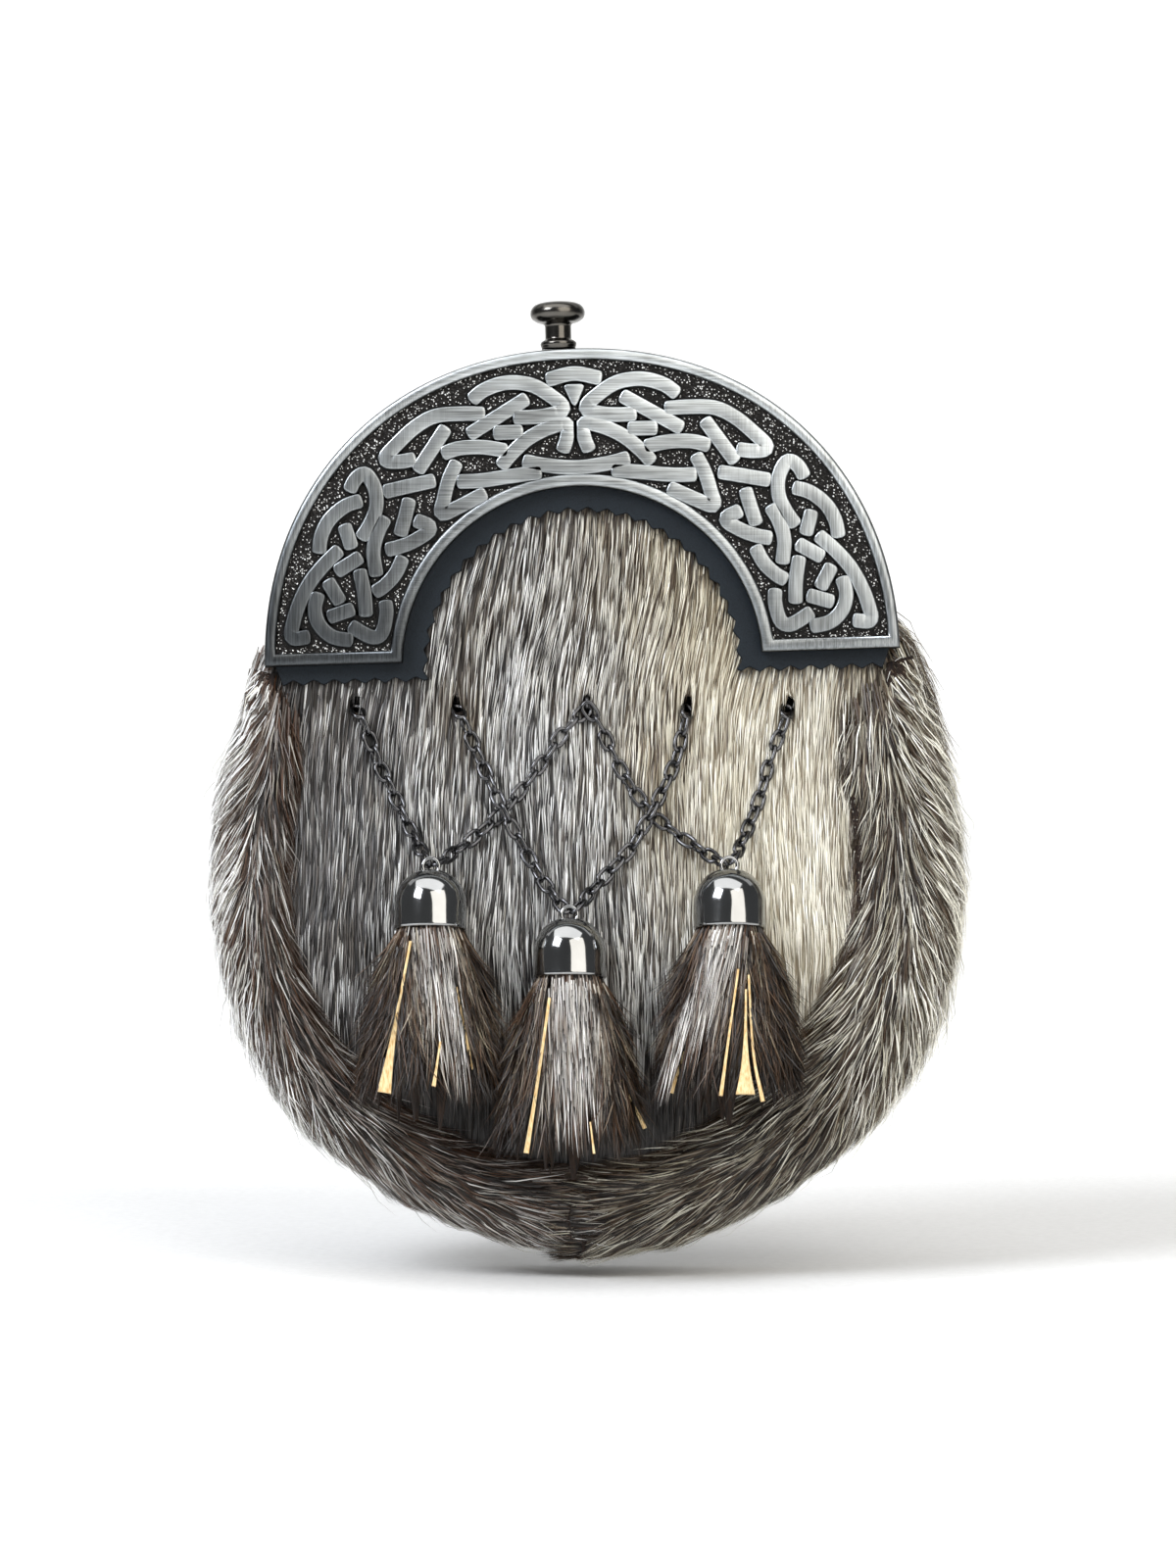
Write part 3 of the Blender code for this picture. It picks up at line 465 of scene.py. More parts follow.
# Vegetable-tanned hide at its cut edge and flesh side, tan with no gloss, and three underfurs.
# Fibre in mm, slimness, detail, roughness, stops of dark and light, strength and depth of the bump
CUT_EDGE = (0.35, 0.12, 3.0, 0.85, 0.3, 0.62, 0.5, 0.1)
FLESH_SIDE = Fibres("tan flesh side leather", "cfa364", "f2dbab", *CUT_EDGE)
UNDERFUR = (0.5, 0.08, 2.0, 0.95, 0.35, 0.75, 0.6, 0.3)
FRONT_SKIN = Fibres("underfur of the front", "1a1410", "3d332c", *UNDERFUR)
BORDER_SKIN = Fibres("underfur of the border", "140e0b", "33241c", *UNDERFUR)
TASSEL_SKIN = Fibres("underfur of the tassels", "120c08", "2f2015", *UNDERFUR)
# Coats: name, root, then the cool palette and the warm one from dark to pale
FRONT_COAT = HairCoat(
    "short guard hair",
    "16110e",
    ("100e0d", "585350", "bfc0be", "fbfbfa"),
    ("4a3b2b", "978a72", "d0cab5", "f9f6e9"),
    root_share=0.35,
)
BORDER_COAT = HairCoat(
    "long guard hair of the border",
    "150e09",
    ("170f09", "543520", "b1b1af", "fafafa"),
    ("17100b", "544531", "b1ac97", "f4f1e2"),
)
TASSEL_COAT = HairCoat(
    "guard hair of the tassels",
    "150d07",
    ("160e09", "583d2b", "b3b1ae", "fbfaf9"),
    ("19110b", "5e442d", "ada185", "efe9d4"),
)
PAPER = PaleSweep()


def eased(value: Array | float, low: float, high: float) -> Array | float:
    """Ease from 0 at low to 1 at high.

    Args:
        value: number or numbers to ease.
        low: where the result is 0.
        high: where it is 1.

    Returns:
        Numbers from 0 to 1.
    """
    share = np.clip((value - low) / (high - low), 0.0, 1.0)
    return share * share * (3.0 - 2.0 * share)


def unit(vectors: Array) -> Array:
    """Vectors scaled to a length of 1."""
    return vectors / np.maximum(np.linalg.norm(vectors, axis=-1, keepdims=True), 1e-12)


def circle(angles: Array) -> Array:
    """Points of the unit circle at some angles."""
    return np.stack([np.cos(angles), np.sin(angles)], 1)


def smooth_noise(points: Array, sizes_mm: Sequence[float], seed: float) -> Array:
    """Smooth noise at points.

    Args:
        points: places in metres, one a row.
        sizes_mm: size of a patch along X, Y and Z.
        seed: moves the noise to another part of its space.

    Returns:
        A value from about -1 to 1 for each point.
    """
    scaled = points / (np.array(sizes_mm) * MM) + seed
    return np.array([noise.noise(point) for point in scaled.tolist()])


def add_piece(mesh: Mesh, slot: Slot, *finishes: Finish, replaces: Sequence[str] = ()) -> None:
    """Put a mesh in the scene as a piece of the pouch.

    Args:
        mesh: the piece's mesh, in the pouch's frame, with the piece's name.
        slot: the record's slot for its finish; not used.
        *finishes: its finishes, in the order of the mesh's material indices.
        replaces: solids that it stands for.
    """
    ob = bpy.data.objects.new(mesh.name, mesh)
    bpy.context.scene.collection.objects.link(ob)
    for finish in finishes:
        mesh.materials.append(finish.material())
    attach(ob, "root")
    if replaces:
        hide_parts(*replaces)
    LOG.info("%s: %d faces", ob.name, len(mesh.polygons))


def dress_node(node: str, finish: Finish) -> None:
    """Give a solid that stays as it is a finish.

    Args:
        node: the solid's name.
        finish: its finish.
    """
    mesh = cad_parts[node].data
    mesh.materials.clear()
    mesh.materials.append(finish.material())
    LOG.info("%s: dressed with %s", node, finish.material().name)


def mesh_of_faces(name: str, points: Array, faces: Sequence[Array]) -> Mesh:
    """Write points and faces to a mesh that is shaded smooth.

    Args:
        name: the mesh's name.
        points: places, one a row.
        faces: arrays of point numbers, a face a row, each array with as many corners.

    Returns:
        The mesh.
    """
    mesh = bpy.data.meshes.new(name)
    mesh.vertices.add(len(points))
    mesh.vertices.foreach_set("co", np.asarray(points, np.float32).ravel())
    corners = np.concatenate([np.asarray(group, np.int32).ravel() for group in faces])
    sizes = np.concatenate([np.full(len(group), group.shape[1], np.int32) for group in faces])
    starts = np.concatenate([[0], np.cumsum(sizes)[:-1]]).astype(np.int32)
    mesh.loops.add(len(corners))
    mesh.loops.foreach_set("vertex_index", corners)
    mesh.polygons.add(len(sizes))
    mesh.polygons.foreach_set("loop_start", starts)
    mesh.polygons.foreach_set("use_smooth", np.full(len(sizes), True))
    mesh.update(calc_edges=True)
    return mesh


class MeshParts:
    """Points and faces of several closed forms that end up in one mesh."""

    def __init__(self) -> None:
        """Start empty."""
        self.points: list[Array] = []
        self.faces: dict[int, list[Array]] = {}
        self.kinds: dict[int, list[Array]] = {}
        self.count = 0

    def add(self, points: Array, faces: Array, kind: int = 0) -> None:
        """Add points and the faces between them.

        Args:
            points: places, one a row.
            faces: point numbers, a face a row.
            kind: material index of the faces.
        """
        sides = faces.shape[1]
        self.points.append(points)
        self.faces.setdefault(sides, []).append(faces + self.count)
        self.kinds.setdefault(sides, []).append(np.full(len(faces), kind, np.int32))
        self.count += len(points)

    def add_rings(self, rings: Array, kind: int = 0, closed: bool = False, capped: bool = True) -> None:
        """Add a tube through rings of points.

        Args:
            rings: places, as rings x points x 3.
            kind: material index of the faces.
            closed: whether the last ring joins the first.
            capped: whether an open tube's ends are closed with fans.
        """
        count, sides, _ = rings.shape
        numbers = np.arange(count * sides).reshape(count, sides)
        here, after = (numbers, np.roll(numbers, -1, 0)) if closed else (numbers[:-1], numbers[1:])
        quads = np.stack([here, after, np.roll(after, -1, 1), np.roll(here, -1, 1)], -1).reshape(-1, 4)
        start = self.count
        self.add(rings.reshape(-1, 3), quads, kind)
        if capped and not closed:
            for ring, corners in ((0, [0, 1, 2]), (count - 1, [0, 2, 1])):
                rim = numbers[ring] + start - self.count
                fan = np.stack([np.zeros(sides, int), rim, np.roll(rim, -1)], -1)
                self.add(rings[ring].mean(0)[None], fan[:, corners], kind)

    def add_strip(self, first: Array, second: Array, kind: int, order: int = 1) -> None:
        """Add an open strip between two lines.

        Args:
            first: places along one line.
            second: places along the other, as many.
            kind: material index of the faces.
            order: -1 to turn the faces over.
        """
        numbers = np.arange(2 * len(first)).reshape(2, -1)
        quads = np.stack([numbers[0, :-1], numbers[0, 1:], numbers[1, 1:], numbers[1, :-1]], -1)
        self.add(np.concatenate([first, second]), quads[:, ::order], kind)

    def mesh(self, name: str, smooth_deg: float | None = None) -> Mesh:
        """The mesh of all parts.

        Args:
            name: the mesh's name.
            smooth_deg: angle above which an edge is sharp, or None for smooth all over.

        Returns:
            The mesh, with its material indices set.
        """
        faces = [np.concatenate(group) for group in self.faces.values()]
        made = mesh_of_faces(name, np.concatenate(self.points), faces)
        kinds = np.concatenate([np.concatenate(group) for group in self.kinds.values()])
        made.polygons.foreach_set("material_index", kinds)
        if smooth_deg is not None:
            made.set_sharp_from_angle(angle=math.radians(smooth_deg))
        return made


def frames_along(line: Array, up: Array, closed: bool = False) -> tuple[Array, Array, Array]:
    """Tangents, sides and ups along a line.

    Args:
        line: places along it, one a row.
        up: the way that up points, for all places or one a row.
        closed: whether the line is a loop.

    Returns:
        Unit tangents, sides and ups, one a row.
    """
    if closed:
        tangents = unit(np.roll(line, -1, 0) - np.roll(line, 1, 0))
    else:
        tangents = unit(np.gradient(line, axis=0))
    sides = unit(np.cross(tangents, up))
    return tangents, sides, np.cross(sides, tangents)


class Skin:
    """A welded copy of a solid's surface, to plant hair on and to lay it along."""

    def __init__(self, nodes: Sequence[str], inset: Callable[[Array, Array], Array] | None = None) -> None:
        """Copy the surface of some solids.

        Args:
            nodes: the solids' names.
            inset: how far in each point moves, from its place and normal.
        """
        bm = bmesh.new()
        for node in nodes:
            bm.from_mesh(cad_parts[node].data)
        bmesh.ops.remove_doubles(bm, verts=bm.verts[:], dist=0.002 * MM)
        bmesh.ops.triangulate(bm, faces=bm.faces[:])
        bmesh.ops.recalc_face_normals(bm, faces=bm.faces[:])
        bm.normal_update()
        self.points = np.array([vert.co[:] for vert in bm.verts])
        self.normals = np.array([vert.normal[:] for vert in bm.verts])
        self.triangles = np.array([[vert.index for vert in face.verts] for face in bm.faces])
        bm.free()
        if inset is not None:
            self.points = self.points - self.normals * inset(self.points, self.normals)[:, None]
        self.tree = BVHTree.FromPolygons(self.points.tolist(), self.triangles.tolist())

    def mesh(self, name: str) -> Mesh:
        """The surface as a mesh."""
        return mesh_of_faces(name, self.points, [self.triangles])

    def scatter(self, rng: Random, count: int) -> tuple[Array, Array]:
        """Spread points evenly over the surface.

        Args:
            rng: seeded generator.
            count: how many.

        Returns:
            Points and unit normals, one a row.
        """
        corners = self.points[self.triangles]
        across = np.cross(corners[:, 1] - corners[:, 0], corners[:, 2] - corners[:, 0])
        sizes = np.linalg.norm(across, axis=1)
        chosen = rng.choice(len(sizes), count, p=sizes / sizes.sum())
        root = np.sqrt(rng.random(count))
        second = rng.random(count)
        weights = np.stack([1 - root, root * (1 - second), root * second], 1)[:, :, None]
        points = (corners[chosen] * weights).sum(1)
        return points, unit((self.normals[self.triangles[chosen]] * weights).sum(1))

    def nearest(self, points: Array) -> tuple[Array, Array]:
        """The nearest places on the surface.

        Args:
            points: places, one a row.

        Returns:
            The nearest points and their smooth unit normals, one a row.
        """
        places = np.empty_like(points)
        faces = np.empty(len(points), int)
        for i, point in enumerate(points.tolist()):
            place, _, face, _ = self.tree.find_nearest(point)
            places[i] = place
            faces[i] = face
        corners = self.points[self.triangles[faces]]
        areas = []
        for first, second in ((1, 2), (2, 0), (0, 1)):
            cross = np.cross(corners[:, first] - places, corners[:, second] - places)
            areas.append(np.linalg.norm(cross, axis=1))
        weights = np.stack(areas, 1)
        weights /= np.maximum(weights.sum(1, keepdims=True), 1e-15)
        return places, unit((self.normals[self.triangles[faces]] * weights[:, :, None]).sum(1))

    def hit(self, points: Array, ways: Array, reach: float) -> Array:
        """Whether a ray from each point meets the surface within a distance.

        Args:
            points: where the rays start, one a row.
            ways: their directions, one a row.
            reach: how far they go.

        Returns:
            True or False for each ray.
        """
        rays = zip(points.tolist(), ways.tolist())
        return np.array([self.tree.ray_cast(start, way, reach)[0] is not None for start, way in rays])


@dataclass
class Hairs:
    """Hairs that lie on a skin: where each starts, how long it is and what it tells its material."""

    roots: Array
    normals: Array
    lengths: Array
    lifts: Array
    tones: Array
    warmth: Array
    bases: Array

    def keep(self, chosen: Array) -> "Hairs":
        """The hairs that are chosen."""
        return Hairs(*[values[chosen] for values in vars(self).values()])

    def joined(self, others: "Hairs") -> "Hairs":
        """These hairs and then others."""
        return Hairs(*[np.concatenate(pair) for pair in zip(vars(self).values(), vars(others).values())])


def progress(lines: Array) -> Array:
    """How far along a hair each of its points is, from 0 to 1."""
    return np.linspace(0.0, 1.0, lines.shape[1])


@dataclass(frozen=True)
class Comb:
    """How hairs are laid and gathered into locks."""

    segments: int
    width: float
    lock_size: float
    gather: float
    roll_deg: float = 40.0

    def lay(self, hairs: Hairs, skin: Skin, flow: Callable[[Array], Array]) -> Array:
        """Lay hairs along a flow over a skin.

        Args:
            hairs: the hairs.
            skin: the surface that they lie on.
            flow: direction at each point.

        Returns:
            Points along each hair, as hairs x points x 3.
        """
        place, normal = hairs.roots, hairs.normals
        line = [place + normal * 0.05 * MM]
        for step in range(1, self.segments + 1):
            way = flow(place)
            way = unit(way - normal * (way * normal).sum(1, keepdims=True))
            place, normal = skin.nearest(place + way * (hairs.lengths / self.segments)[:, None])
            rise = math.sin(step / self.segments * math.pi / 2)
            line.append(place + normal * (hairs.lifts * rise)[:, None])
        return np.stack(line, 1)

    def gathered(self, lines: Array, rng: Random) -> Array:
        """Draw the hairs of each lock together towards their tips.

        Args:
            lines: points along each hair.
            rng: seeded generator.

        Returns:
            The points, moved.
        """
        roots = lines[:, 0]
        count = max(8, int(len(roots) / max(4.0, self.lock_size)))
        leaders = rng.choice(len(roots), count, replace=False)
        tree = KDTree(count)
        for number, place in enumerate(roots[leaders].tolist()):
            tree.insert(place, number)
        tree.balance()
        nearest = np.array([tree.find(place)[1] for place in roots.tolist()])
        leading = lines[leaders[nearest]]
        return lines + (leading - lines) * (progress(lines) ** 1.3 * self.gather)[None, :, None]

    def mesh(self, name: str, hairs: Hairs, lines: Array, rng: Random) -> Mesh:
        """Make a tapered ribbon for each hair.

        Args:
            name: the mesh's name.
            hairs: the hairs.
            lines: points along each.
            rng: seeded generator.

        Returns:
            The mesh, with along, tone and warm on its points.
        """
        count, stations, _ = lines.shape
        tangents = unit(np.gradient(lines, axis=1))
        sides = unit(np.cross(tangents, hairs.normals[:, None, :]))
        ups = np.cross(sides, tangents)
        roll = np.radians(rng.uniform(-self.roll_deg, self.roll_deg, count))[:, None, None]
        sides = sides * np.cos(roll) + ups * np.sin(roll)
        taper = (1.0 - progress(lines) ** 1.6)[:-1]
        half = 0.5 * self.width * rng.uniform(0.65, 1.3, count)[:, None] * taper
        reach = sides[:, :-1] * half[:, :, None]
        pairs = np.stack([lines[:, :-1] - reach, lines[:, :-1] + reach], 2).reshape(count, -1, 3)
        points = np.concatenate([pairs, lines[:, -1:]], 1)
        each = points.shape[1]
        start = (np.arange(count) * each)[:, None]
        quads = [start + [2 * k, 2 * k + 1, 2 * k + 3, 2 * k + 2] for k in range(stations - 2)]
        tips = start + [each - 3, each - 2, each - 1]
        mesh = mesh_of_faces(name, points.reshape(-1, 3), [*quads, tips])
        share = np.append(np.repeat(progress(lines)[:-1], 2), 1.0)
        base = hairs.bases[:, None]
        for label, values in (
            ("along", (base + (1.0 - base) * share).ravel()),
            ("tone", np.repeat(hairs.tones, each)),
            ("warm", np.repeat(hairs.warmth, each)),
        ):
            data = mesh.attributes.new(label, "FLOAT", "POINT").data
            data.foreach_set("value", values.astype(np.float32))
        return mesh


@dataclass(frozen=True)
class PouchOutline:
    """The gusset's middle line seen from the front: two half ellipses."""

    half_width: float = 81.2 * MM
    centre_z: float = -56.0 * MM
    top_semi: float = 137.0 * MM
    bottom_semi: float = 79.0 * MM
    seam_x: float = -1.6 * MM

    def outset(self, points: Array) -> Array:
        """How far outside the line points lie, in metres."""
        return self._measure(points)[0]

    def outward(self, points: Array) -> Array:
        """Unit vectors away from the line, in the plane of the front."""
        return self._measure(points)[1]

    def downward(self, points: Array) -> Array:
        """Find the way down along the line to the seam at the bottom.

        Args:
            points: places, one a row.

        Returns:
            Unit vectors, one a row.
        """
        away = self.outward(points)
        side = np.sign(points[:, 0] - self.seam_x)
        return np.stack([away[:, 2] * side, np.zeros(len(points)), -away[:, 0] * side], 1)

    def _measure(self, points: Array) -> tuple[Array, Array]:
        """Measure points against the line.

        Args:
            points: places, one a row.

        Returns:
            How far outside it each lies and the unit vectors away from it.
        """
        across = points[:, 0] / self.half_width
        semi = np.where(points[:, 2] > self.centre_z, self.top_semi, self.bottom_semi)
        up = (points[:, 2] - self.centre_z) / semi
        level = np.maximum(np.hypot(across, up), 1e-6)
        slope = np.stack([across / self.half_width, np.zeros(len(points)), up / semi], 1) / level[:, None]
        steep = np.linalg.norm(slope, axis=1)
        return (level - 1.0) / steep, slope / steep[:, None]


OUTLINE = PouchOutline()


@dataclass(frozen=True)
class Studio:
    """Camera, soft lights and the paper sweep."""

    lens_mm: float = 90.0
    sensor_mm: float = 36.0
    face_y: float = -20.5 * MM
    floor_gap: float = 2.5 * MM

    def build(self) -> None:
        """Set up the camera, the lights and the sweep."""
        self.add_camera()
        self.add_world()
        self.add_lights()
        self.add_sweep()

    def add_camera(self) -> None:
        """Place the camera so that a millimetre at the cantle's face covers the photograph's pixels."""
        data = bpy.data.cameras.new("camera")
        data.lens = self.lens_mm
        data.sensor_width = self.sensor_mm
        data.clip_start = 0.05
        data.clip_end = 50.0
        camera = bpy.data.objects.new("camera", data)
        bpy.context.scene.collection.objects.link(camera)
        width, height = IMAGE_SIZE
        distance = height / PIXELS_PER_MM * MM * self.lens_mm / self.sensor_mm
        across = (width / 2 - ORIGIN_PIXEL[0]) / PIXELS_PER_MM * MM
        up = (ORIGIN_PIXEL[1] - height / 2) / PIXELS_PER_MM * MM
        camera.location = (across, self.face_y - distance, up)
        camera.rotation_euler = (math.radians(90.0), 0.0, 0.0)
        bpy.context.scene.camera = camera

    def add_world(self) -> None:
        """A dim even room round the set."""
        world = bpy.data.worlds.new("room")
        world.use_nodes = True
        background = world.node_tree.nodes["Background"]
        background.inputs["Color"].default_value = linear("e8ebee")
        background.inputs["Strength"].default_value = 0.12
        bpy.context.scene.world = world
        bpy.context.scene.view_settings.view_transform = "Standard"

    def add_lights(self) -> None:
        """A key at the upper left that throws the shadow, windows above and at the right, and a wash."""
        # Name, place, what it points at, size across and up in metres, power in watts, colour
        lights = (
            ("key", (-0.92, -0.86, 0.84), (0.0, 0.0, -0.02), (0.6, 0.6), 17.0, "f4f8ff"),
            ("window above", (-0.1, -0.42, 1.15), (0.0, 0.0, -0.02), (1.9, 0.85), 10.5, "ffffff"),
            ("window right", (0.5, -0.9, 0.42), (0.0, 0.0, -0.02), (0.9, 0.95), 7.0, "fffaf2"),
            ("light over the floor", (0.0, 0.45, 1.1), (0.0, 0.3, -0.16), (3.0, 0.5), 3.0, "ffffff"),
            ("wash", (0.0, 0.25, 1.0), (0.0, 2.2, 0.85), (3.0, 0.9), 38.0, "ffffff"),
        )
        for name, place, target, (across, up), power, colour in lights:
            data = bpy.data.lights.new(name, "AREA")
            data.shape = "RECTANGLE"
            data.size = across
            data.size_y = up
            data.energy = power
            data.color = linear(colour)[:3]
            lamp = bpy.data.objects.new(name, data)
            bpy.context.scene.collection.objects.link(lamp)
            lamp.location = place
            lamp.rotation_euler = (Vector(target) - Vector(place)).to_track_quat("-Z", "Y").to_euler()

    def add_sweep(self) -> None:
        """A floor just under the pouch's tip that curves up into a wall far behind it."""
        floor = SOLID_BOX[0].z - self.floor_gap
        half_width, front, wall, bend, top = 6.0, -4.0, 2.2, 0.8, 4.5
        profile = [(front, floor)]
        for turn in np.linspace(0.0, math.pi / 2, 17):
            profile.append((wall - bend + bend * math.sin(turn), floor + bend - bend * math.cos(turn)))
        profile.append((wall, top))
        rows = np.array([[(x, y, z) for y, z in profile] for x in (-half_width, half_width)])
        numbers = np.arange(rows.shape[0] * rows.shape[1]).reshape(rows.shape[:2])
        quads = np.stack([numbers[0, :-1], numbers[1, :-1], numbers[1, 1:], numbers[0, 1:]], -1)
        mesh = mesh_of_faces("sweep", rows.reshape(-1, 3), [quads])
        mesh.materials.append(PAPER.material())
        sweep = bpy.data.objects.new("sweep", mesh)
        bpy.context.scene.collection.objects.link(sweep)
        sweep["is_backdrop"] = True


# The cantle's rim: share of the way across it and height of its face above the back, in mm
RIM_PROFILE = (
    (0.0, 0.0), (0.0, 2.2), (0.07, 2.75), (0.2, 3.05), (0.45, 3.15), (0.78, 3.05), (0.92, 2.8), (1.0, 2.0),
)

# Half a knotwork band: distance in from its edge and height above the field, in mm
BAND_PROFILE = ((-0.05, -0.1), (0.0, 0.7), (0.07, 0.92), (0.2, 1.04), (0.45, 1.1))


@dataclass(frozen=True)
class Cantle:
    """The cast pewter arch: a blackened field, rounded rims and interlaced bands."""

    lean_deg: float = 1.75
    radius: float = 80.0 * MM
    power: float = 2.15
    inner_radius: float = 45.3 * MM
    foot_z: float = 2.2 * MM
    back_y: float = -19.7 * MM
    thick: float = 2.0 * MM
    outer_rim: float = 2.9 * MM
    inner_rim: float = 3.3 * MM
    foot_rim: float = 3.2 * MM
    band: float = 3.85 * MM
    parting: float = 0.3 * MM
    corner: float = 0.9 * MM
    trench_margin: float = 0.55 * MM
    flange_thick: float = 1.6 * MM
    flange_depth: float = 7.0 * MM
    arc_steps: int = 96

    @property
    def field_y(self) -> float:
        """Depth of the sunk field."""
        return self.back_y - self.thick

    def lean(self) -> Matrix:
        """The cantle's lean about the belt line."""
        return Matrix.Rotation(-math.radians(self.lean_deg), 4, "Y")

    def outline(self, outer_inset: float, inner_outset: float, foot_raise: float) -> Array:
        """The horseshoe outline, drawn in by a rim's width at each edge.

        Args:
            outer_inset: how far the outer arc is drawn in.
            inner_outset: how far the inner arc is drawn out.
            foot_raise: how far the feet are raised.

        Returns:
            Points (across, up) round the outline.
        """
        foot = self.foot_z + foot_raise
        start = math.asin(foot / (self.radius - outer_inset))
        angle = np.linspace(start, math.pi - start, self.arc_steps)
        powers = [np.abs(part) ** self.power for part in (np.cos(angle), np.sin(angle))]
        size = (powers[0] + powers[1]) ** (-1 / self.power)
        outer = (self.radius * size - outer_inset)[:, None] * circle(angle)
        inner_radius = self.inner_radius + inner_outset
        inner_start = math.asin(foot / inner_radius)
        angle = np.linspace(math.pi - inner_start, inner_start, self.arc_steps * 2 // 3)
        inner = inner_radius * circle(angle)
        return np.concatenate([outer, inner])

    def build(self) -> None:
        """Make the arch as one piece."""
        parts = MeshParts()
        self.add_field(parts)
        self.add_rim(parts)
        self.add_flange(parts)
        for row in CROWN_BANDS.values():
            self.add_band(parts, knot_line(row, 1.0))
        for row in KNOT_BANDS.values():
            for mirror in (1.0, -1.0):
                self.add_band(parts, knot_line(row, mirror), mirror=mirror)
        self.add_band(parts, knot_line(CROWN_WEDGE, 1.0), (1.5, 0.3))
        mesh = parts.mesh("cantle_casting", 50.0)
        mesh.transform(self.lean())
        add_piece(mesh, Slot.PEWTER, PEWTER, FIELD, BLACKENED_SHADE, replaces=["cantle"])

    def at_depth(self, outline: Array, depth: float) -> Array:
        """Outline points placed in the room at a depth."""
        return np.stack([outline[:, 0], np.full(len(outline), depth), outline[:, 1]], 1)

    def add_field(self, parts: MeshParts) -> None:
        """Add the plate behind the relief: its front is the sunk field and its back is plain.

        Args:
            parts: where it goes.
        """
        edge = self.outline(*[0.6 * rim for rim in (self.outer_rim, self.inner_rim, self.foot_rim)])
        outer, inner = edge[: self.arc_steps], edge[self.arc_steps :]
        inner = resample(inner[::-1], len(outer))
        for depth, kind, order in ((self.field_y, 1, 1), (self.back_y, 0, -1)):
            parts.add_strip(self.at_depth(outer, depth), self.at_depth(inner, depth), kind, order)

    def add_rim(self, parts: MeshParts) -> None:
        """Add the raised border as one loop with a rounded face.

        Args:
            parts: where it goes.
        """
        rows = []
        for share, height in RIM_PROFILE:
            insets = [share * rim for rim in (self.outer_rim, self.inner_rim, self.foot_rim)]
            rows.append(self.at_depth(self.outline(*insets), self.back_y - height * MM))
        rings = np.stack(rows, 1)
        numbers = np.arange(rings.shape[0] * rings.shape[1]).reshape(rings.shape[:2])
        after = np.roll(numbers, -1, 0)
        quads = np.stack([numbers[:, :-1], numbers[:, 1:], after[:, 1:], after[:, :-1]], -1).reshape(-1, 4)
        parts.add(rings.reshape(-1, 3), quads, 0)

    def add_flange(self, parts: MeshParts) -> None:
        """Add the return flange round the outside, behind the face.

        Args:
            parts: where it goes.
        """
        outer = self.outline(0.0, 0.0, 0.0)[: self.arc_steps]
        inner = self.outline(self.flange_thick, 0.0, 0.0)[: self.arc_steps]
        front, back = self.back_y, self.back_y + self.flange_depth
        corners = ((outer, front), (outer, back), (inner, back), (inner, front))
        parts.add_rings(np.stack([self.at_depth(line, depth) for line, depth in corners], 1))

    def add_band(
        self, parts: MeshParts, line: Array, widths: tuple[float, float] = (1.0, 1.0), mirror: float = 0.0
    ) -> None:
        """Add a raised band of the knotwork: a flat brushed face, eased shoulders and rounded corners.

        Args:
            parts: where it goes.
            line: the band's middle line as (across, up) points.
            widths: width at its start and end, as shares of the usual one.
            mirror: 1 or -1 for a band that stays in the left or right half, and 0 for any other.
        """
        length = length_of(line)
        ends = np.array([0.0, 0.12, 0.3, 0.6, 1.0]) * self.corner
        middle = np.linspace(self.corner, length - self.corner, max(2, round(length / (0.7 * MM))))
        distance = np.concatenate([ends[:-1], middle, length - ends[-2::-1]])
        centre = self.at_depth(along(line, distance), 0.0)
        tangents, sides, _ = frames_along(centre, FRONTWARDS)
        half = self.band / 2 * np.interp(distance, (0.0, length), widths)
        inside = self.corner - np.minimum(np.minimum(distance, length - distance), self.corner)
        cut = self.corner - np.sqrt(self.corner**2 - inside**2)
        half = half - cut * np.minimum(1.0, half / self.band * 2)
        rings = []
        for side, rows in ((1.0, BAND_PROFILE), (-1.0, BAND_PROFILE[::-1])):
            for inset, height in rows:
                point = unfolded(centre + sides * (side * (half - inset * MM))[:, None], tangents)
                if mirror:
                    limit = self.parting + inset * MM
                    point[:, 0] = np.minimum(point[:, 0] * mirror, -limit) * mirror
                point[:, 1] = self.field_y - height * MM
                rings.append(point)
        rings = np.stack(rings, 1)
        for end, way in ((0, -1.0), (-1, 1.0)):
            cap = rings[end] + tangents[end] * way * 0.2 * MM
            cap[:, 1] = np.maximum(cap[:, 1], self.field_y - 0.8 * MM)
            rings = np.concatenate([[cap], rings] if end == 0 else [rings, [cap]])
        parts.add_rings(rings)
        self.add_shaded_channel(parts, centre, sides, tangents, half)

    def add_shaded_channel(
        self, parts: MeshParts, line: Array, sides: Array, tangents: Array, half: Array
    ) -> None:
        """Add the smooth blackened channel that the tool left along a band: dark patina, and also painted
        shade at the band's foot.

        Args:
            parts: where it goes.
            line: the band's middle line.
            sides: unit vectors across it.
            tangents: unit vectors along it.
            half: half the band's width.
        """
        line = line.copy()
        line[0] -= tangents[0] * self.trench_margin
        line[-1] += tangents[-1] * self.trench_margin
        line[:, 1] = self.field_y - 0.06 * MM
        reach = sides * (half + self.trench_margin)[:, None]
        parts.add_strip(line - reach, line + reach, 2)


def unfolded(edge: Array, tangents: Array) -> Array:
    """An edge beside a middle line without the folds that a tight inner corner gives it.

    Args:
        edge: the edge's points.
        tangents: the middle line's tangents.

    Returns:
        The edge, its folds drawn together.
    """
    edge = edge.copy()
    for _ in range(40):
        back = ((edge[1:] - edge[:-1]) * tangents[:-1]).sum(1) < 0.0
        if not back.any():
            break
        for i in np.flatnonzero(back):
            edge[i] = edge[i + 1] = (edge[i] + edge[i + 1]) / 2
    return edge


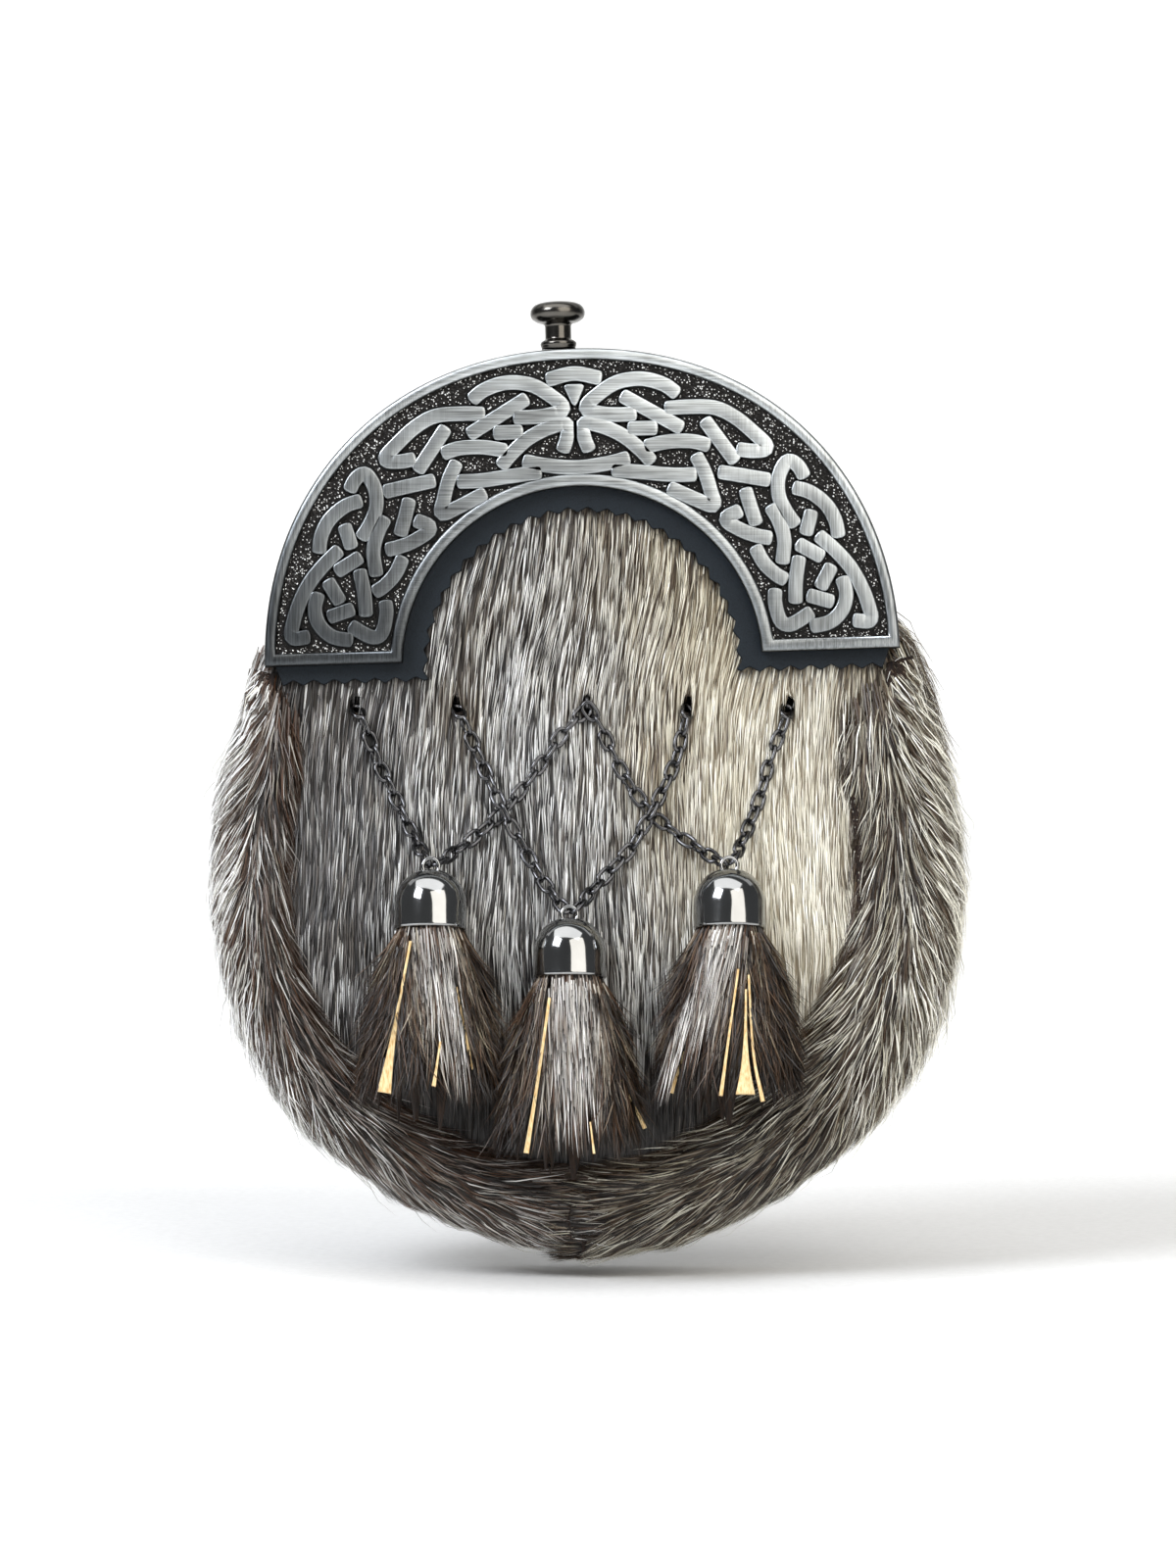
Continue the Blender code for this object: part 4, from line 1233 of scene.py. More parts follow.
def length_of(line: Array) -> float:
    """The length of a line of points."""
    return np.linalg.norm(np.diff(line, axis=0), axis=1).sum()


def along(line: Array, distances: Array) -> Array:
    """Find the points at distances along a line.

    Args:
        line: points, one a row.
        distances: how far along it.

    Returns:
        The points, one a row.
    """
    steps = np.linalg.norm(np.diff(line, axis=0), axis=1)
    reached = np.concatenate([[0.0], np.cumsum(steps)])
    return np.stack([np.interp(distances, reached, line[:, axis]) for axis in range(line.shape[1])], 1)


def resample(line: Array, count: int) -> Array:
    """Points evenly spaced along a line.

    Args:
        line: points, one a row.
        count: how many to return.

    Returns:
        The new points.
    """
    return along(line, np.linspace(0.0, length_of(line), count))


def smooth_route(points: Array, spacing: float) -> Array:
    """Points evenly spaced along a smooth curve through given points.

    Args:
        points: the given points, one a row.
        spacing: distance between the new ones.

    Returns:
        The new points.
    """
    if len(points) < 3:
        return resample(points, max(2, round(length_of(points) / spacing) + 1))
    padded = np.concatenate([[2 * points[0] - points[1]], points, [2 * points[-1] - points[-2]]])
    fine = []
    for before, start, end, after in zip(padded, padded[1:], padded[2:], padded[3:]):
        t = np.linspace(0.0, 1.0, 24, endpoint=False)[:, None]
        square = (2 * before - 5 * start + 4 * end - after) * t**2
        cube = (3 * start - before - 3 * end + after) * t**3
        fine.append(0.5 * (2 * start + (end - before) * t + square + cube))
    fine = np.concatenate([*fine, points[-1:]])
    return resample(fine, max(3, round(length_of(fine) / spacing) + 1))


def knot_line(row: Sequence[tuple[float, float]], mirror: float) -> Array:
    """A band's middle line as (across, up) points.

    Args:
        row: angle in degrees left of the crown and radius in mm.
        mirror: 1 for the left half and -1 for the right.

    Returns:
        The points, in metres.
    """
    angle = np.radians([degrees for degrees, _ in row])
    radius = np.array([radius for _, radius in row]) * MM
    points = np.stack([-mirror * radius * np.sin(angle), radius * np.cos(angle)], 1)
    return smooth_route(points, 0.9 * MM)


# Knotwork, left half of the cantle: angle in degrees left of the crown, radius in mm from the
# arch's centre. A row is one raised band, and the right half is its mirror image.
KNOT_BANDS = {
    "crown petal": (
        (21.1, 72.4), (17.9, 73.7), (13.5, 73.8), (9.0, 72.1), (5.5, 69.0), (2.4, 65.0),
        (6.1, 63.7), (10.4, 64.0), (13.8, 65.0),
    ),
    "crown bar": ((9.8, 68.9), (24.6, 64.8)),
    "upper leaf": (
        (19.4, 68.0), (23.7, 70.3), (28.6, 72.9), (32.8, 73.4), (37.3, 72.9), (41.9, 72.1),
        (40.4, 69.3), (37.1, 66.9),
    ),
    "leaf bar": ((27.9, 69.2), (38.7, 64.2)),
    "lozenge": ((19.2, 62.8), (12.5, 60.8)),
    "long slope": ((31.8, 64.0), (27.7, 62.9), (22.6, 60.4), (17.5, 57.3)),
    "lower petal": (
        (20.8, 54.1), (16.6, 56.4), (11.5, 58.9), (6.0, 60.6), (1.9, 61.0), (2.1, 57.8), (3.7, 54.0)
    ),
    "long sweep": ((10.2, 49.9), (18.6, 51.0), (27.0, 53.2), (32.5, 56.1)),
    "inner vee": ((29.7, 60.4), (33.8, 57.8), (37.8, 54.7), (41.1, 52.2), (35.9, 50.7), (27.3, 49.9)),
    "shoulder bar": ((47.1, 66.5), (42.1, 62.8), (36.6, 59.6)),
    "shoulder hook": (
        (51.5, 73.3), (48.8, 74.0), (46.7, 72.9), (47.7, 68.7), (50.6, 65.5), (54.4, 64.3), (58.5, 64.3)
    ),
    "outer arc": ((51.3, 69.4), (54.3, 72.0), (58.1, 73.5), (61.7, 73.4), (65.1, 72.1)),
    "outer bar": ((57.5, 69.8), (61.3, 65.0)),
    "long arc": (
        (62.4, 67.7), (67.0, 69.9), (71.4, 71.8), (75.6, 72.9), (79.4, 73.5), (82.7, 73.4), (82.1, 68.9)
    ),
    "cross bar": ((61.8, 62.1), (67.5, 66.4)),
    "middle link": ((51.1, 62.1), (55.4, 61.4), (59.8, 59.8), (64.7, 56.4)),
    "neck bar": ((44.1, 60.6), (48.8, 58.0), (52.8, 56.4)),
    "lower leaf": ((47.2, 56.1), (45.9, 51.6), (51.0, 52.5), (55.1, 54.9), (57.8, 57.5)),
    "lower arc": ((56.8, 52.8), (62.1, 52.5), (66.3, 53.8), (69.0, 55.7)),
    "foot link": ((64.8, 61.2), (69.7, 57.9), (75.4, 55.8)),
    "foot bar": ((69.6, 67.8), (73.7, 62.7)),
    "foot turn": ((72.7, 68.9), (76.3, 68.8), (79.4, 66.9), (81.6, 63.2), (81.9, 58.1)),
    "foot cross": ((77.5, 65.2), (74.1, 59.2)),
    "foot vee": ((78.3, 59.5), (80.4, 53.7), (79.1, 51.2), (73.5, 51.0), (69.8, 52.3)),
}

# The wedge under the crown arc, from its top to its tip
CROWN_WEDGE = ((0.0, 70.8), (0.0, 65.6))

# Bands that cross the crown in one piece, from the right side to the left
CROWN_BANDS = {
    "crown arc": ((-5.5, 72.5), (0.0, 73.6), (5.5, 72.5)),
    "lens arc": ((-14.5, 53.8), (-8.8, 51.4), (0.0, 50.0), (8.8, 51.4), (14.5, 53.8)),
}


@dataclass(frozen=True)
class PinkedLeather:
    """The leather arch under the cantle, its free edge cut with pinking shears."""

    front_y: float = -19.4 * MM
    back_y: float = -17.8 * MM
    radius: float = 77.4 * MM
    inner_radius: float = 39.6 * MM
    foot_z: float = -2.0 * MM
    foot_half: float = 75.6 * MM
    pitch: float = 5.0 * MM
    depth: float = 1.3 * MM
    edge_round: float = 0.3 * MM

    def build(self, lean: Matrix) -> None:
        """Make the arch as one flat piece with rounded edges.

        Args:
            lean: the cantle's lean, which the leather shares.
        """
        start = math.asin(self.foot_z / self.inner_radius)
        angle = np.linspace(start, math.pi - start, 160)
        arch = self.inner_radius * circle(angle)
        inner = self.pinked(arch, unit)
        foot = np.array([[self.foot_half, self.foot_z], arch[0]])
        right = self.pinked(resample(foot, 60), lambda points: np.array([0.0, 1.0]) + 0.0 * points)
        left = right[::-1] * (-1.0, 1.0)
        top = math.asin(2.0 * MM / self.radius)
        angle = np.linspace(math.pi - top, top, 90)
        outer = self.radius * circle(angle)
        outline = np.concatenate([right[:-1], inner, left[1:], outer])
        curve = bpy.data.curves.new("leather outline", "CURVE")
        curve.dimensions = "2D"
        curve.fill_mode = "BOTH"
        curve.extrude = (self.back_y - self.front_y) / 2 - self.edge_round
        curve.bevel_depth = self.edge_round
        curve.offset = -self.edge_round
        curve.bevel_resolution = 2
        spline = curve.splines.new("POLY")
        spline.points.add(len(outline) - 1)
        rows = np.concatenate([outline, np.zeros_like(outline)], 1)
        rows[:, 3] = 1.0
        spline.points.foreach_set("co", rows.ravel())
        spline.use_cyclic_u = True
        holder = bpy.data.objects.new("leather outline", curve)
        bpy.context.scene.collection.objects.link(holder)
        bpy.context.view_layer.update()
        mesh = bpy.data.meshes.new_from_object(holder.evaluated_get(bpy.context.evaluated_depsgraph_get()))
        bpy.data.objects.remove(holder)
        middle = Matrix.Translation((0.0, (self.front_y + self.back_y) / 2, 0.0))
        mesh.transform(lean @ middle @ Matrix.Rotation(math.radians(90.0), 4, "X"))
        mesh.shade_smooth()
        mesh.set_sharp_from_angle(angle=math.radians(40.0))
        mesh.name = "pinked_arch"
        add_piece(mesh, Slot.PINKED_LEATHER, NAVY_LEATHER, replaces=["cantle_leather"])

    def pinked(self, line: Array, inward: Callable[[Array], Array]) -> Array:
        """A line of pinked teeth: straight flanks with a slightly rounded tip and root.

        Args:
            line: the line's points.
            inward: the way from the free edge into the leather.

        Returns:
            The toothed line.
        """
        teeth = max(2, round(length_of(line) / self.pitch))
        points = resample(line, teeth * 10 + 1)
        phase = np.arange(len(points)) / 10.0
        saw = np.abs((phase % 1.0) - 0.5) * 4.0 - 1.0
        wave = 0.72 * saw + 0.28 * np.cos(2 * math.pi * phase)
        return points - inward(points) * (wave * self.depth / 2)[:, None]


def lathe(profile: Sequence[tuple[float, float]], steps: int) -> Array:
    """Rings of a turned shape about the Z axis.

    Args:
        profile: (radius, height) points, down the outer side.
        steps: points round each ring.

    Returns:
        Places, as rings x points x 3.
    """
    turn = np.linspace(0.0, 2 * math.pi, steps, endpoint=False)
    rows = np.array(profile)
    radius, height = rows[:, :1], rows[:, 1:]
    return np.stack(
        [radius * np.cos(turn), radius * np.sin(turn), np.broadcast_to(height, (len(rows), steps))], -1
    )


def rounded(points: Sequence[tuple[float, float]], spacing: float) -> list[tuple[float, float]]:
    """A profile's points joined by a smooth curve, in metres.

    Args:
        points: (radius, height) in mm.
        spacing: distance between the new points, in mm.

    Returns:
        The new profile.
    """
    smooth = smooth_route(np.array(points) * MM, spacing * MM)
    return [(max(float(radius), 1e-6), float(height)) for radius, height in smooth]


@dataclass(frozen=True)
class Knob:
    """The turned knob on the arch's top edge."""

    seat_x: float = -3.6 * MM
    seat_y: float = -17.75 * MM
    seat_z: float = 80.3 * MM

    def build(self, lean: Matrix) -> None:
        """Make the knob.

        Args:
            lean: the cantle's lean.
        """
        head = ((0.0, 12.0), (2.4, 11.95), (4.4, 11.7), (5.9, 11.1), (6.7, 10.1), (6.9, 9.0), (6.5, 7.8))
        neck = ((5.2, 6.9), (3.9, 6.5), (3.35, 6.0), (3.3, 5.2), (3.3, 3.2), (3.4, 2.5))
        collar = ((4.2, 2.0), (4.55, 1.5), (4.5, 0.9), (4.3, 0.4), (4.3, 0.05))
        profile = rounded(head + neck + collar, 0.25)
        parts = MeshParts()
        parts.add_rings(lathe(profile, 56))
        mesh = parts.mesh("turned_knob")
        mesh.transform(lean @ Matrix.Translation((self.seat_x, self.seat_y, self.seat_z)))
        add_piece(mesh, Slot.GUNMETAL, SMOKED, replaces=["knob"])


@dataclass(frozen=True)
class Bell:
    """A turned bell with a wire bail on its crown. Its place comes from its solid's box."""

    name: str
    radius: float = 8.9 * MM
    height: float = 15.0 * MM
    straight: float = 5.5 * MM
    flare: float = 0.1 * MM
    wall: float = 0.9 * MM
    tilt_deg: float = 10.0
    bail_radius: float = 2.0 * MM
    bail_wire: float = 0.5 * MM
    bail_rise: float = 0.9 * MM

    @property
    def node(self) -> str:
        """The solid's name."""
        return f"bell_{self.name}"

    def frame(self) -> Matrix:
        """Find the bell's own frame: origin in the middle of its mouth, +Z up to its crown.

        Returns:
            The frame's placement.
        """
        low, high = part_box(self.node)
        tilt = math.radians(self.tilt_deg)
        mouth = self.radius + self.flare
        place = ((low.x + high.x) / 2, low.y + mouth * math.cos(tilt), low.z + mouth * math.sin(tilt))
        return Matrix.Translation(place) @ Matrix.Rotation(-tilt, 4, "X")

    def bail_centre(self) -> Vector:
        """The middle of the bail."""
        return self.frame() @ Vector((0.0, 0.0, self.height + self.bail_rise))

    def profile(self, inset: float) -> list[tuple[float, float]]:
        """Draw the wall from the crown down to the mouth.

        Args:
            inset: how far inside the outer face.

        Returns:
            Radii and heights.
        """
        radius, rise = self.radius - inset, self.height - inset - self.straight
        dome = []
        for turn in np.linspace(math.pi / 2, 0.0, 22):
            across = abs(math.cos(turn)) ** 0.9 if turn < 1.57 else 1e-4
            dome.append((radius * across, self.straight + rise * math.sin(turn) ** 0.92))
        return [*dome, (radius + 0.4 * self.flare, 2.4 * MM), (radius + 0.7 * self.flare, 0.9 * MM)]

    def build(self) -> None:
        """Make the bell and its bail as one piece."""
        lip = ((self.radius + self.flare, 0.35 * MM), (self.radius - 0.1 * MM, 0.0))
        lip = [*lip, (self.radius - self.wall + 0.2 * MM, 0.0), (self.radius - self.wall, 0.4 * MM)]
        profile = [*self.profile(0.0), *lip, *self.profile(self.wall)[::-1]]
        parts = MeshParts()
        parts.add_rings(lathe(profile, 72), capped=False)
        turn = np.linspace(0.0, 2 * math.pi, 28, endpoint=False)
        loop = self.bail_radius * np.stack([np.cos(turn), 0 * turn, np.sin(turn)], 1)
        loop[:, 2] += self.height + self.bail_rise
        parts.add_rings(wire_rings(loop, self.bail_wire, 10, closed=True), closed=True)
        mesh = parts.mesh(f"bell_cap_{self.name}")
        mesh.transform(self.frame())
        add_piece(mesh, Slot.GUNMETAL, POLISHED, replaces=[self.node])


def wire_rings(line: Array, radius: float, sides: int, closed: bool = False) -> Array:
    """Rings round a wire's middle line.

    Args:
        line: places along the wire, one a row.
        radius: the wire's radius.
        sides: points round a ring.
        closed: whether the wire is a loop.

    Returns:
        Places, as rings x points x 3.
    """
    middle = line.mean(0)
    spread = np.linalg.svd(line - middle)[2]
    _, side, up = frames_along(line, spread[2], closed)
    turn = np.linspace(0.0, 2 * math.pi, sides, endpoint=False)
    return line[:, None] + radius * (
        side[:, None] * np.cos(turn)[:, None] + up[:, None] * np.sin(turn)[:, None]
    )


@dataclass(frozen=True)
class Chain:
    """One strand of oval links, laid along the middle of its solid from the hole down to the bail."""

    name: str
    bell: Bell
    side: Side
    hung: bool = False
    link_length: float = 6.1 * MM
    link_width: float = 4.0 * MM
    wire: float = 0.52 * MM
    pitch: float = 4.25 * MM
    twist_deg: float = 24.0

    @property
    def node(self) -> str:
        """The solid's name."""
        return f"chain_{self.name}"

    def route(self) -> Array:
        """Follow the middle line of the strand's solid, from the top down to the bail.

        Returns:
            Places along it.
        """
        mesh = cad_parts[self.node].data
        points = np.empty(len(mesh.vertices) * 3)
        mesh.vertices.foreach_get("co", points)
        points = points.reshape(-1, 3)
        edges = np.empty(len(mesh.edges) * 2, int)
        mesh.edges.foreach_get("vertices", edges)
        ends = points[edges.reshape(-1, 2)]
        top, bottom = points[:, 2].max(), points[:, 2].min()
        line = []
        for level in np.arange(top - 2.6 * MM, bottom + 1.6 * MM, -1.5 * MM):
            above = ends[:, :, 2] > level
            cut = ends[above[:, 0] != above[:, 1]]
            share = (level - cut[:, 0, 2]) / (cut[:, 1, 2] - cut[:, 0, 2])
            section = cut[:, 0] + (cut[:, 1] - cut[:, 0]) * share[:, None]
            line.append((section.min(0) + section.max(0)) / 2)
        line = np.array(line)
        if self.hung:
            line = line[line[:, 2] < HOLE_Z - 4.5 * MM]
            place = RingLink().seat(self.side)
            first = place + unit(place - line[0]) * (self.pitch - self.link_length / 2 + 3 * self.wire)
        else:
            first = line[0] + (0.0, 2.2 * MM, 1.3 * MM)
        bail = np.array(self.bell.bail_centre())
        last = bail + unit(line[-1] - bail) * 0.9 * MM
        return np.concatenate([[first], line, [last]])

    def build(self) -> None:
        """Make the links as one piece."""
        line = smooth_route(self.route(), 0.5 * MM)
        length = length_of(line)
        reach = self.link_length / 2 - self.wire
        count = max(3, round((length - reach) / self.pitch))
        line = resample(line, 20 * count + 1)
        fine = np.linspace(0.0, length, len(line))
        parts = MeshParts()
        for number in range(count):
            at = length - reach - number * (length - reach) / count
            middle, ahead, behind = [
                np.array([np.interp(place, fine, line[:, axis]) for axis in range(3)])
                for place in (at, at + MM, at - MM)
            ]
            way = unit(ahead - behind)
            side = unit(np.cross(way, FRONTWARDS))
            out = np.cross(side, way)
            from_top = count - 1 - number
            turned = self.twist_deg - (86.0 if from_top % 2 else 0.0)
            drift = -self.twist_deg * max(0.0, 1.0 - from_top / 5.0) if self.hung else 0.0
            twist = math.radians(turned + drift + 7.0 * math.sin(2.3 * number + 5.0 * self.side.value))
            across = side * math.cos(twist) + out * math.sin(twist)
            self.add_link(parts, middle, way, across)
        if self.hung and self.side is Side.RIGHT:
            RingLink().add(parts, self)
        add_piece(parts.mesh(f"links_{self.name}"), Slot.CHAIN, WIRE, replaces=[self.node])

    def add_link(self, parts: MeshParts, middle: Array, way: Array, across: Array) -> None:
        """Add one oval link of round wire.

        Args:
            parts: where it goes.
            middle: the link's middle.
            way: unit vector along the chain.
            across: unit vector across the link.
        """
        half_width = self.link_width / 2 - self.wire
        run = self.link_length / 2 - self.wire - half_width
        turn = np.linspace(0.0, 2 * math.pi, 22, endpoint=False)
        forward = half_width * np.cos(turn) + run * np.tanh(3.0 * np.cos(turn))
        line = middle + forward[:, None] * way + (half_width * np.sin(turn))[:, None] * across
        parts.add_rings(wire_rings(line, self.wire, 9, closed=True), closed=True)


@dataclass(frozen=True)
class RingLink:
    """The link that stands out of the centre hole and carries a strand on each side."""

    x: float = 1.1 * MM
    proud: float = 2.0 * MM

    def front(self) -> float:
        """Find the hide's front beside the hole.

        Returns:
            Its depth.
        """
        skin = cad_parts["front_hide"].data
        points = np.array([vert.co[:] for vert in skin.vertices])
        near = np.hypot(points[:, 0] - self.x, points[:, 2] - HOLE_Z) < 8 * MM
        return float(points[near, 1].min())

    def seat(self, side: Side) -> Array:
        """Where a strand's first link hangs on it: the left one behind, the right one in front."""
        depth = self.front() - self.proud + (0.75 if side is Side.RIGHT else -0.3) * MM
        return np.array([self.x, depth, HOLE_Z - (1.35 if side is Side.RIGHT else 0.7) * MM])

    def add(self, parts: MeshParts, chain: Chain) -> None:
        """Add the link to a strand's piece."""
        middle = np.array([self.x, self.front() - self.proud + chain.link_length / 2 - chain.wire, HOLE_Z])
        chain.add_link(parts, middle, FRONTWARDS, np.array([0.0, 0.0, 1.0]))


@dataclass(frozen=True)
class PouchBody:
    """The leather back, gusset and strap loops, which keep their solids' shape."""

    nodes: tuple[str, ...] = ("back_panel", "gusset", "strap_loop_left", "strap_loop_right")

    def build(self) -> None:
        """Dress the solids."""
        for node in self.nodes:
            dress_node(node, BLACK_LEATHER)


@dataclass(frozen=True)
class BackStitches:
    """Saddle stitches round the back panel, a little inside its edge."""

    inset: float = 3.6 * MM
    length: float = 2.9 * MM
    pitch: float = 4.0 * MM
    thread: float = 0.38 * MM

    def build(self) -> None:
        """Make the stitches as one piece."""
        tree = Skin(["back_panel"]).tree
        low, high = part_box("back_panel")
        middle = Vector(((low.x + high.x) / 2, (low.y + high.y) / 2, (low.z + high.z) / 2))
        edge = []
        for turn in np.linspace(0.0, 2 * math.pi, 361):
            way = Vector((math.cos(turn), 0.0, math.sin(turn)))
            edge.append(tree.ray_cast(middle + way, -way)[0] - way * self.inset)
        line = np.array(edge)
        line[:, 1] = high.y + 0.1 * self.thread
        length = length_of(line)
        count = round(length / self.pitch)
        at = np.linspace(0.0, length, count, endpoint=False)[:, None] + np.linspace(0.0, self.length, 6)
        steps = along(line, at.ravel()).reshape(count, 6, 3)
        steps[:, (0, -1), 1] -= 0.8 * self.thread
        parts = MeshParts()
        for stitch in steps:
            parts.add_rings(wire_rings(stitch, self.thread, 7))
        add_piece(parts.mesh("back_stitches"), Slot.BACK_LEATHER, THREAD)


# Patches of the front pelt, in mm: middle across and up, reach across and up, lighter, warmer
PELT_PATCHES = (
    (-70.0, -40.0, 20.0, 55.0, -0.36, -0.1),
    (-30.0, -6.0, 7.0, 12.0, -0.2, 0.5),
    (-12.0, -62.0, 24.0, 24.0, -0.12, 0.0),
    (44.0, -48.0, 20.0, 42.0, 0.14, 0.35),
    (19.0, -24.0, 8.0, 26.0, -0.12, 0.5),
    (34.0, 16.0, 8.0, 20.0, -0.06, 0.4),
    (74.0, -20.0, 9.0, 40.0, -0.3, 0.0),
    (-26.0, 22.0, 10.0, 12.0, -0.12, 0.2),
)


@dataclass(frozen=True)
class FrontPile:
    """The short flat-lying hair on the front of the pouch."""

    hairs: int = 65000
    length: float = 12.5 * MM
    lift: float = 1.1 * MM
    layers: float = 5.0
    hidden_root: float = 3.5 * MM
    under_border: float = 1.5 * MM
    hole_radius: float = 2.1 * MM
    hole_x: tuple[float, ...] = (-57.2 * MM, -31.7 * MM, 1.1 * MM, 26.5 * MM, 51.7 * MM)
    comb: Comb = Comb(segments=2, width=0.38 * MM, lock_size=12.0, gather=0.45)

    def build(self, seed: int) -> None:
        """Plant the hair.

        Args:
            seed: seed of the random numbers.
        """
        dress_node("front_hide", FRONT_SKIN)
        rng = np.random.default_rng(seed)
        skin = Skin(["front_hide"])
        # The hide's normals turn into a hole at its rim, where the hair lies flat all the same
        for x in self.hole_x:
            rim = np.hypot(skin.points[:, 0] - x, skin.points[:, 2] - HOLE_Z) < 1.5 * self.hole_radius
            skin.normals[rim & (skin.normals[:, 1] < 0.0)] = FRONTWARDS
        roots, normals = skin.scatter(rng, self.hairs * 5)
        # The front of the hide, inside the arch or below its feet
        shown = normals[:, 1] < -0.1
        shown &= roots[:, 2] < 42 * MM
        shown &= (np.hypot(roots[:, 0], roots[:, 2]) < 46 * MM) | (roots[:, 2] < 4 * MM)
        roots, normals = roots[shown], normals[shown]
        leather = Skin(["cantle_leather"])
        front = np.broadcast_to(FRONTWARDS, roots.shape)
        # Of those, hairs in view or with a tip that comes into view, and none in a hole
        ahead = roots + self.flow(roots) * self.hidden_root
        inward = roots - OUTLINE.outward(roots) * self.under_border + front * 0.1 * MM
        in_view = ~leather.hit(roots + front * 0.1 * MM, front, 30 * MM)
        shown = in_view | ~leather.hit(ahead + front * 0.5 * MM, front, 30 * MM)
        for side in Side:
            shown &= ~BorderFur(side).skin().hit(inward, front, 30 * MM)
        for x in self.hole_x:
            shown &= np.hypot(roots[:, 0] - x, roots[:, 2] - HOLE_Z) > self.hole_radius
        roots, normals, in_view = [values[shown][: self.hairs] for values in (roots, normals, in_view)]
        count = len(roots)
        lengths = self.length * rng.uniform(0.7, 1.2, count)
        # Right above a hole they end short of it
        for x in self.hole_x:
            above = roots[:, 2] - HOLE_Z
            across = roots[:, 0] - x - 0.13 * above
            over = (np.abs(across) < 2.0 * MM - 0.1 * above) & (above > 0.0) & (above < 14 * MM)
            lengths[over] = np.minimum(lengths[over], np.maximum(above[over] - 1.0 * MM, 2.0 * MM))
        layer = rng.random(count)
        lifts = self.lift * (0.2 + 0.8 * layer + 0.5 * eased(layer, 0.75, 1.0))
        lifts = lifts * eased(lengths, 0.0, 6 * MM)
        lifts *= np.where(in_view, 1.0, 0.3)
        hairs = Hairs(roots, normals, lengths, lifts, *self.tones(rng, roots, layer), np.zeros(count))
        lines = self.comb.lay(hairs, skin, self.flow)
        lines = self.comb.gathered(lines, rng)
        add_piece(self.comb.mesh("front_pile", hairs, lines, rng), Slot.FRONT_FUR, FRONT_COAT)

    def tones(self, rng: Random, roots: Array, layer: Array) -> tuple[Array, Array]:
        """How light and how warm each hair is: the pelt's patches, streaks in them and some dark hairs,
        with painted shade on hairs that lie under others and low down between the tassels.

        Args:
            rng: seeded generator.
            roots: where the hairs start.
            layer: how high each hair lies, from 0 to 1.

        Returns:
            Tones from 0, dark, to 1, pale, and warmth from 0, grey, to 1, cream.
        """
        patches = smooth_noise(roots, (7.0, 60.0, 22.0), 3.1)
        fine = smooth_noise(roots, (1.2, 60.0, 6.0), 8.4)
        tone = 0.1 + 0.46 * eased(roots[:, 0], -45 * MM, 60 * MM)
        warm = eased(roots[:, 0] + 0.3 * roots[:, 2], -20 * MM, 38 * MM) * 0.75
        for across, up, reach, rise, lighter, warmer in PELT_PATCHES:
            far = ((roots[:, 0] / MM - across) / reach) ** 2 + ((roots[:, 2] / MM - up) / rise) ** 2
            tone += lighter * np.exp(-far)
            warm += warmer * np.exp(-far)
        contrast = 1.25 - 0.7 * eased(roots[:, 0], -25 * MM, 45 * MM)
        # Painted shade: hairs that lie under other hairs are painted darker
        tone += contrast * (0.46 - 1.0 * eased((1.0 - layer) * self.layers, 0.1, 2.0))
        tone += 0.12 * patches + contrast * (0.22 * fine + rng.normal(0.0, 0.14, len(roots)))
        # Painted shade: the pile low down between the tassels is painted dark, as the shade that the
        # tassels cast
        tone -= 0.75 * eased(-roots[:, 2] + 4 * MM * patches, 86 * MM, 104 * MM)
        warm += 0.25 * smooth_noise(roots, (9.0, 60.0, 15.0), 6.6) + rng.normal(0.0, 0.1, len(roots))
        return np.clip(tone, 0.0, 1.0), np.clip(warm, 0.0, 1.0)

    def flow(self, points: Array) -> Array:
        """Find the way that the hair lies: downwards, leaning to the lower left inside the arch.

        Args:
            points: places, one a row.

        Returns:
            Directions, one a row.
        """
        lean = 0.2 * eased(points[:, 2], -40 * MM, 25 * MM)
        broad = smooth_noise(points, (11.0, 60.0, 18.0), 1.7)
        fine = smooth_noise(points, (3.0, 60.0, 5.0), 5.5)
        side = 0.13 * broad + 0.1 * fine - lean
        return np.stack([side, 0.0 * side, -np.ones(len(points))], 1)


